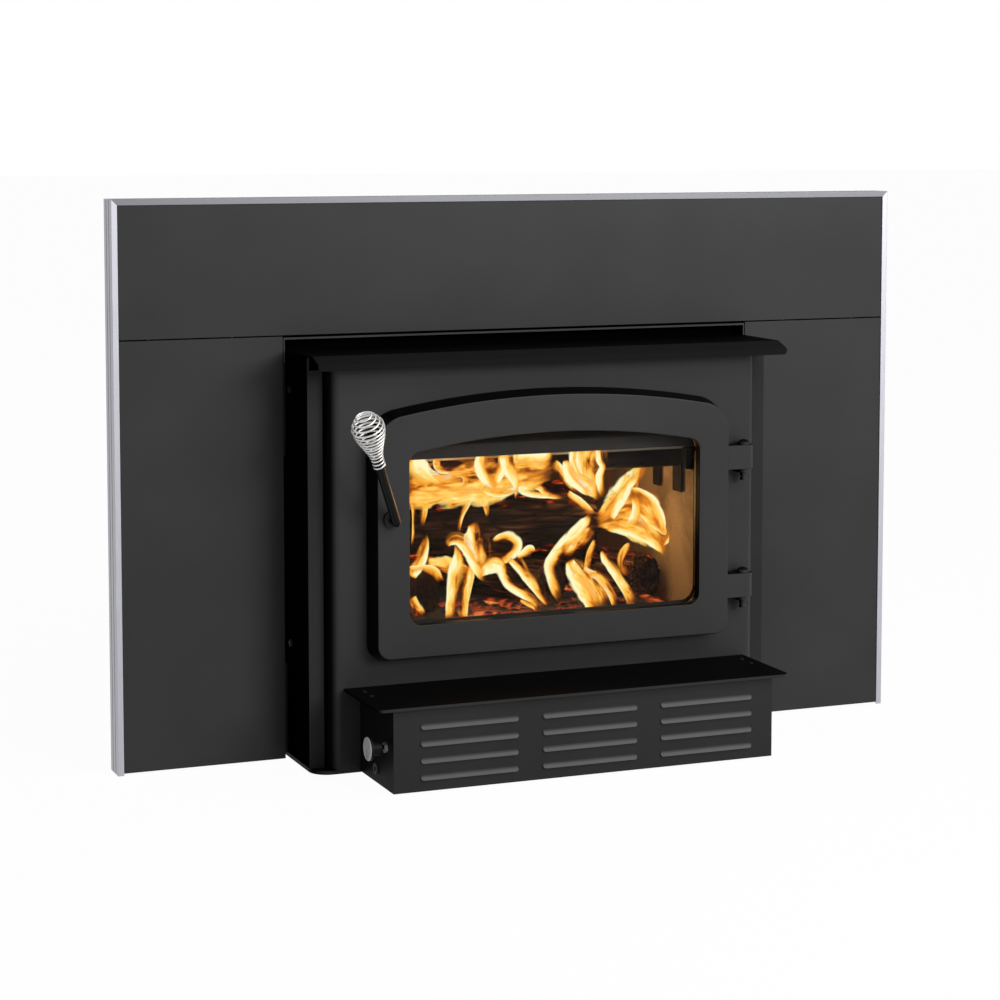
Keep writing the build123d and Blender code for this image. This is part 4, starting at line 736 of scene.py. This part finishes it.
# Each flame: depth in metres, hotness, side of its palest streak (1 or -1), then (x, z, half width)
# stations in mm as the window's front plane shows them.
FLAMES = (
    # the sheet over the back log, across the top left
    (-0.026, 0.58, 1, ((-214, 380, 26), (-160, 380, 28), (-100, 381, 28), (-40, 386, 22), (-2, 392, 12))),
    (-0.030, 0.80, 1, ((-212, 366, 13), (-176, 367, 11), (-140, 364, 9), (-100, 365, 10), (-58, 366, 9))),
    (-0.036, 1.08, -1, ((-212, 402, 12), (-198, 390, 15), (-182, 380, 10), (-162, 375, 7), (-144, 378, 6),
                        (-130, 384, 3))),
    (-0.034, 0.80, 1, ((-166, 408, 5), (-166, 394, 5), (-150, 388, 3), (-128, 390, 3), (-114, 398, 4),
                       (-112, 408, 4))),
    (-0.038, 0.78, 1, ((-150, 382, 3), (-134, 384, 4), (-126, 376, 5), (-134, 366, 4), (-150, 364, 4),
                       (-180, 368, 5))),
    (-0.040, 1.05, 1, ((-100, 410, 10), (-102, 392, 11), (-98, 378, 9), (-90, 368, 5), (-84, 362, 2))),
    (-0.042, 1.00, -1, ((-80, 410, 7), (-81, 392, 7), (-86, 378, 6), (-92, 368, 3))),
    (-0.044, 0.95, 1, ((-74, 410, 8), (-68, 388, 9), (-60, 372, 6), (-58, 358, 3), (-60, 344, 1))),
    (-0.032, 0.92, -1, ((-66, 388, 13), (-44, 388, 14), (-22, 388, 15), (-6, 396, 9))),
    (-0.040, 1.12, -1, ((-62, 399, 8), (-40, 398, 8), (-20, 397, 8), (-4, 402, 4))),
    (-0.046, 0.80, 1, ((-106, 366, 4), (-90, 360, 6), (-70, 359, 5), (-54, 364, 3))),
    # the tall one in the middle
    (-0.030, 0.92, 1, ((44, 412, 22), (43, 392, 21), (44, 376, 18), (48, 362, 13), (56, 350, 8),
                       (64, 338, 3))),
    (-0.036, 1.15, 1, ((26, 412, 5), (22, 394, 5), (25, 380, 6), (34, 370, 7), (46, 364, 6), (56, 360, 4))),
    (-0.038, 1.15, 1, ((58, 412, 5), (60, 394, 5), (65, 383, 5), (60, 370, 6), (61, 356, 5), (67, 338, 2))),
    (-0.042, 1.12, 1, ((11, 396, 3), (14, 384, 7), (19, 372, 8), (29, 362, 7), (40, 353, 5), (52, 348, 3))),
    (-0.034, 0.76, -1, ((-8, 394, 4), (2, 380, 7), (11, 368, 6), (22, 357, 5), (34, 345, 3))),
    (0.030, 0.24, 1, ((70, 408, 10), (68, 380, 10), (74, 352, 9), (88, 340, 5))),
    # over the upper log
    (0.020, 0.92, 1, ((-58, 376, 4), (-50, 363, 7), (-34, 354, 5), (-10, 350, 4), (14, 346, 2))),
    (0.018, 0.74, 1, ((-34, 360, 2), (-26, 361, 4), (-18, 355, 4), (-6, 350, 3))),
    (0.018, 0.62, -1, ((12, 352, 3), (26, 340, 5), (40, 328, 5), (52, 318, 3))),
    # the mass at the right
    (0.046, 0.60, 1, ((50, 312, 6), (80, 320, 20), (108, 324, 28), (132, 306, 24), (152, 284, 16),
                      (165, 262, 6))),
    (0.042, 0.66, -1, ((58, 312, 6), (84, 330, 16), (104, 350, 17), (118, 372, 10), (128, 392, 3))),
    (0.038, 0.58, 1, ((96, 336, 10), (120, 330, 16), (142, 312, 14), (160, 298, 9), (184, 291, 4))),
    (0.040, 0.40, -1, ((106, 358, 10), (120, 378, 10), (134, 388, 8), (148, 394, 5), (164, 399, 2))),
    (0.024, 1.08, 1, ((74, 312, 4), (83, 330, 7), (92, 346, 8), (104, 362, 6), (116, 376, 3))),
    (0.028, 1.00, -1, ((98, 298, 4), (112, 314, 7), (115, 331, 7), (107, 346, 4))),
    (0.022, 0.72, -1, ((100, 350, 3), (119, 343, 6), (134, 329, 8), (144, 312, 8), (150, 294, 5),
                       (152, 280, 2))),
    (0.026, 0.92, 1, ((66, 306, 5), (92, 304, 9), (114, 299, 10), (134, 288, 9), (152, 272, 7),
                      (160, 256, 3))),
    (0.030, 0.90, 1, ((148, 276, 4), (160, 285, 6), (174, 291, 6), (190, 294, 4), (208, 292, 2))),
    # thin ones at the left
    (0.015, 0.66, -1, ((-188, 378, 5), (-186, 354, 4), (-188, 334, 4), (-190, 316, 1))),
    (0.015, 0.48, 1, ((-202, 364, 5), (-199, 338, 3), (-200, 314, 2), (-203, 290, 1))),
    (0.015, 0.56, -1, ((-120, 360, 5), (-128, 344, 4), (-137, 326, 3), (-140, 304, 2))),
    (0.015, 0.54, 1, ((-104, 362, 4), (-101, 344, 4), (-99, 324, 1))),
    (-0.020, 0.95, 1, ((-206, 254, 6), (-200, 266, 9), (-191, 280, 8), (-186, 296, 5), (-184, 312, 1))),
    (-0.025, 0.80, -1, ((-208, 262, 5), (-188, 263, 5), (-172, 257, 7), (-163, 242, 4))),
    (-0.018, 0.46, -1, ((-184, 264, 9), (-160, 262, 12), (-140, 256, 10), (-120, 250, 6))),
    # the hooked ones in the lower left
    (-0.030, 0.88, 1, ((-119, 322, 7), (-113, 310, 14), (-112, 294, 15), (-110, 278, 14), (-112, 264, 10),
                       (-118, 250, 4))),
    (-0.036, 0.95, -1, ((-149, 194, 6), (-148, 216, 7), (-145, 240, 8), (-141, 256, 10), (-137, 270, 9),
                        (-138, 286, 5), (-141, 302, 2))),
    (-0.032, 0.70, 1, ((-134, 194, 5), (-134, 214, 6), (-132, 236, 8), (-128, 256, 8), (-126, 272, 4))),
    (-0.042, 1.02, 1, ((-157, 291, 3), (-151, 298, 6), (-140, 300, 7), (-129, 293, 9), (-121, 279, 9),
                       (-114, 264, 8), (-106, 250, 5), (-97, 239, 2))),
    (-0.028, 0.88, -1, ((-92, 292, 2), (-82, 297, 5), (-69, 296, 7), (-60, 288, 7), (-66, 277, 7),
                        (-82, 270, 6), (-98, 264, 3))),
    (-0.038, 1.10, 1, ((-116, 250, 4), (-102, 260, 8), (-88, 267, 11), (-78, 261, 9), (-74, 246, 7),
                       (-63, 233, 6), (-46, 223, 6), (-28, 212, 5), (-12, 200, 2))),
    (-0.032, 0.92, 1, ((-70, 272, 4), (-59, 265, 7), (-48, 252, 7), (-38, 239, 6), (-27, 224, 5),
                       (-17, 210, 3), (-11, 202, 1))),
    (-0.030, 0.90, -1, ((-58, 269, 3), (-47, 274, 5), (-39, 279, 5), (-34, 274, 2))),
    # the middle and the right of the floor
    (-0.030, 0.50, 1, ((50, 302, 4), (38, 288, 10), (24, 276, 10), (8, 264, 5))),
    (-0.036, 1.02, 1, ((47, 323, 3), (44, 311, 8), (34, 300, 10), (20, 289, 11), (7, 277, 10), (-3, 266, 8),
                       (-11, 256, 7), (-9, 242, 6), (-3, 226, 6), (3, 212, 4), (7, 198, 1))),
    (-0.042, 0.95, 1, ((15, 264, 4), (24, 252, 12), (36, 239, 16), (48, 225, 18), (60, 209, 20),
                       (70, 190, 22))),
    (-0.045, 1.12, -1, ((16, 262, 4), (24, 248, 7), (34, 232, 7), (45, 214, 7), (54, 192, 8))),
    (-0.045, 0.84, 1, ((44, 243, 3), (58, 238, 5), (71, 224, 5), (81, 208, 5), (87, 190, 5))),
    (-0.044, 0.84, -1, ((36, 250, 3), (46, 242, 4), (58, 241, 2))),
    (-0.030, 0.58, 1, ((54, 288, 2), (48, 274, 4), (44, 260, 4), (42, 248, 4), (37, 240, 2))),
    (-0.040, 0.96, 1, ((64, 274, 2), (68, 262, 5), (76, 251, 6), (85, 238, 6), (95, 224, 6), (107, 210, 8),
                       (119, 192, 11))),
    (-0.028, 0.30, 1, ((106, 280, 3), (98, 264, 9), (98, 248, 8), (108, 236, 4))),
    # glow from the coals
    (-0.030, 0.52, -1, ((-206, 228, 6), (-200, 213, 8), (-188, 200, 6))),
    (-0.030, 0.66, 1, ((-54, 216, 2), (-42, 211, 4), (-33, 206, 4), (-28, 198, 2))),
)


def make_flames():
    for number, flame in enumerate(FLAMES, start=1):
        tongue(number, *flame)


# ---------------------------------------------------------------- studio
room_light = 0.32
floor_reach = 40
floor_drop = 0.0005                # under the object, so that no faces coincide
floor_colour = (0.92, 0.92, 0.92, 1)
floor_white = 0.97                 # share of plain white in what shows of the floor
white_light = (1, 1, 1, 1)
fire_colour = (1.0, 0.56, 0.22)
fire_lamp_radius = 0.04


def view_rays(tree):
    """1 for rays that show the background: straight, mirrored or through glass."""
    rays = tree.nodes.new("ShaderNodeLightPath")
    seen = rays.outputs["Is Camera Ray"]
    for name in ("Is Glossy Ray", "Is Transmission Ray"):
        both = tree.nodes.new("ShaderNodeMath")
        both.operation = "MAXIMUM"
        tree.links.new(seen, both.inputs[0])
        tree.links.new(rays.outputs[name], both.inputs[1])
        seen = both.outputs[0]
    return seen


def make_world():
    world = bpy.data.worlds.new("studio")
    world.use_nodes = True
    scene.world = world
    tree = world.node_tree
    light = tree.nodes["Background"]
    light.inputs["Color"].default_value = white_light
    light.inputs["Strength"].default_value = room_light
    white = tree.nodes.new("ShaderNodeBackground")
    white.inputs["Color"].default_value = white_light
    white.inputs["Strength"].default_value = 1.0
    mix = tree.nodes.new("ShaderNodeMixShader")
    tree.links.new(view_rays(tree), mix.inputs["Fac"])
    tree.links.new(light.outputs[0], mix.inputs[1])
    tree.links.new(white.outputs[0], mix.inputs[2])
    tree.links.new(mix.outputs[0], tree.nodes["World Output"].inputs["Surface"])


def make_floor():
    """A plain pale floor that shows as white and still takes the object's shadow."""
    ends = (-floor_reach, floor_reach)
    rows = [[(x, y, -floor_drop) for x in ends] for y in ends]
    mesh = grid_mesh("floor", rows)
    floor = bpy.data.objects.new("floor", mesh)
    scene.collection.objects.link(floor)
    material = bpy.data.materials.new("floor")
    material.use_nodes = True
    tree = material.node_tree
    tree.nodes.clear()
    plain = tree.nodes.new("ShaderNodeBsdfDiffuse")
    plain.inputs["Color"].default_value = floor_colour
    glow = tree.nodes.new("ShaderNodeEmission")
    glow.inputs["Color"].default_value = white_light
    glow.inputs["Strength"].default_value = 1.0
    share = tree.nodes.new("ShaderNodeMath")
    share.operation = "MULTIPLY"
    share.inputs[1].default_value = floor_white
    tree.links.new(view_rays(tree), share.inputs[0])
    mix = tree.nodes.new("ShaderNodeMixShader")
    tree.links.new(share.outputs[0], mix.inputs["Fac"])
    tree.links.new(plain.outputs[0], mix.inputs[1])
    tree.links.new(glow.outputs[0], mix.inputs[2])
    output = tree.nodes.new("ShaderNodeOutputMaterial")
    tree.links.new(mix.outputs[0], output.inputs["Surface"])
    mesh.materials.append(material)


def area_lamp(name, place, target, size, power):
    data = bpy.data.lights.new(name, "AREA")
    data.shape = "RECTANGLE"
    data.size, data.size_y = size
    data.energy = power
    lamp = bpy.data.objects.new(name, data)
    lamp.location = place
    lamp.visible_camera = False
    lamp.rotation_euler = (Vector(target) - Vector(place)).to_track_quat("-Z", "Y").to_euler()
    scene.collection.objects.link(lamp)


def fire_lamp(name, place, power):
    data = bpy.data.lights.new(name, "POINT")
    data.energy = power
    data.color = fire_colour
    data.shadow_soft_size = fire_lamp_radius
    lamp = bpy.data.objects.new(name, data)
    lamp.location = place
    scene.collection.objects.link(lamp)


def make_lights():
    area_lamp("front_lamp", (2.3, -4.6, 1.9), (0, 0, 0.4), (2.4, 1.4), 165)
    area_lamp("upper_lamp", (0.8, -1.5, 1.8), (0, 0, 0.7), (1.8, 0.7), 21)
    fire_lamp("fire_left", (-0.12, -0.03, 0.36), 0.5)
    fire_lamp("fire_middle", (0.03, -0.03, 0.30), 0.5)
    fire_lamp("fire_right", (0.13, 0.04, 0.31), 0.6)
    fire_lamp("fire_low", (-0.09, -0.04, 0.24), 0.3)


# ---------------------------------------------------------------- dressing the frame
upright_band = (0.165, 0.20)       # shares of the deflector's height
fine_grain = 0.00003
# Painted shade on faces turned up or to the left: the share of colour they keep, and the turn where it
# starts and ends.
shade_up_left = (0.1, 0.35, 0.85)


def deflector_shadow():
    """Heights between which the air-wash deflector turns dark, a painted shadow of the door's arch, just
    above its upright band.
    """
    low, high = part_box("airwash_deflector")
    return [low.z + share * (high.z - low.z) for share in upright_band]


finishes = {
    "black_paint": paint("black_paint", (0.024, 0.024, 0.0243), 0.40, fine_grain, shade_turned=shade_up_left),
    # The shelf's paint is a darker copy of the black paint: painted shade on the shelf, darkest on its
    # faces turned up.
    "shelf_shaded_paint": paint("shelf_shaded_paint", (0.0055, 0.0055, 0.0056), 0.5, fine_grain, specular=0.03,
                         shade_turned=(0.15, 0.96, 0.99)),
    "lid_paint": paint("lid_paint", (0.021, 0.021, 0.0213), 0.5, fine_grain, specular=0.06,
                       shade_turned=shade_up_left),
    # Painted highlight on the fronts of the louvre hoods, and painted shade on faces turned up or to the
    # left.
    "blower_paint": paint("blower_paint", (0.021, 0.021, 0.0213), 0.45, fine_grain, specular=0.06,
                          highlight_depth=-0.2223, shade_turned=(0.25, 0.35, 0.85)),
    "screw_paint": paint("screw_paint", (0.010, 0.010, 0.010), 0.5, fine_grain, specular=0.06),
    # A painted shadow of the door's arch darkens the deflector above its upright band.
    "deflector_paint": paint("deflector_paint", (0.042, 0.0385, 0.036), 0.7, 0.00004, specular=0.03,
                             shadowed=deflector_shadow()),
    # Painted shade: the casing's sides are black from behind their front flange to just behind the
    # faceplate, where they lie in shade; further back they turn to bare sheet.
    "casing_paint": paint("casing_paint", (0.026, 0.026, 0.0263), 0.6, fine_grain, specular=0.0,
                          bare=(-0.0730, 0.05)),
    # Painted shade: the header is black behind its front edge, in the recess above the shelf.
    "header_paint": paint("header_paint", (0.05, 0.05, 0.051), 0.6, fine_grain, specular=0.0,
                          bare=(0.0015, 1.0)),
    "faceplate_paint": paint("faceplate_paint", (0.027, 0.027, 0.0274), 0.36, 0.000005, cloudy=0.01),
    "trim_metal": brushed_metal("trim_metal", (0.37, 0.37, 0.405), 0.42, "Z"),
    # A darker copy of the trim's metal for the top length: painted shade.
    "trim_top_shaded_metal": brushed_metal("trim_top_shaded_metal", (0.135, 0.135, 0.148), 0.42, "X"),
    "firebox_steel": heated_steel("firebox_steel", (0.020, 0.019, 0.018), (0.040, 0.028, 0.020), 0.6),
    "heat_steel": heated_steel("heat_steel", (0.008, 0.007, 0.007), (0.022, 0.014, 0.013), 0.6),
    "firebrick": firebrick("firebrick"),
    "baffle_board": fibre("baffle_board", (0.62, 0.56, 0.47), (0.38, 0.33, 0.26), 260, 0.0006),
    "ceramic_wool": fibre("ceramic_wool", (0.82, 0.80, 0.76), (0.55, 0.53, 0.49), 90, 0.003),
    "fasteners": bare_metal("fasteners", (0.10, 0.10, 0.105), 0.42),
    "door_glass": ceramic_glass("door_glass"),
    "gasket_rope": woven_rope("gasket_rope"),
    "handle_steel": paint("handle_steel", (0.003, 0.003, 0.003), 0.3, 0.00002, specular=0.10),
    "spring_wire": bare_metal("spring_wire", (0.66, 0.655, 0.64), 0.36),
    "fan_metal": bare_metal("fan_metal", (0.56, 0.57, 0.58), 0.4),
    "motor_metal": motor_steel("motor_metal", (0.42, 0.42, 0.41)),
    "knob_plastic": capped_plastic("knob_plastic", (0.006, 0.006, 0.006), (0.42, 0.42, 0.43)),
    "grommet_rubber": moulded_plastic("grommet_rubber", (0.018, 0.018, 0.018), 0.7),
    "bark": charred_wood("bark"),
    "flame": flame_finish("flame"),
}

# Nodes with a coat of their own, instead of their record slot's.
special_coats = {
    "airwash_deflector": "deflector_paint", "shelf": "shelf_shaded_paint", "trim_top": "trim_top_shaded_metal",
    "blower_lid": "lid_paint", "blower_housing": "blower_paint", "opening_header": "header_paint",
    "blower_lid_screws": "screw_paint", "casing_screws": "screw_paint",
    "casing_left": "casing_paint", "casing_right": "casing_paint", "casing_top": "casing_paint",
    "casing_back": "casing_paint", "casing_spacers": "casing_paint",
}


def dress_frame():
    """Gives each node of the frame the finish of its record slot, or its own coat."""
    for name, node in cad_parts.items():
        for material_slot in node.material_slots:
            slot = special_coats.get(name, material_slot.material.name.split(".")[0])
            material_slot.material = finishes[slot]


make_camera()
make_world()
make_floor()
make_lights()
dress_frame()
spring_grip()
make_logs()
ember_bed()
make_flames()
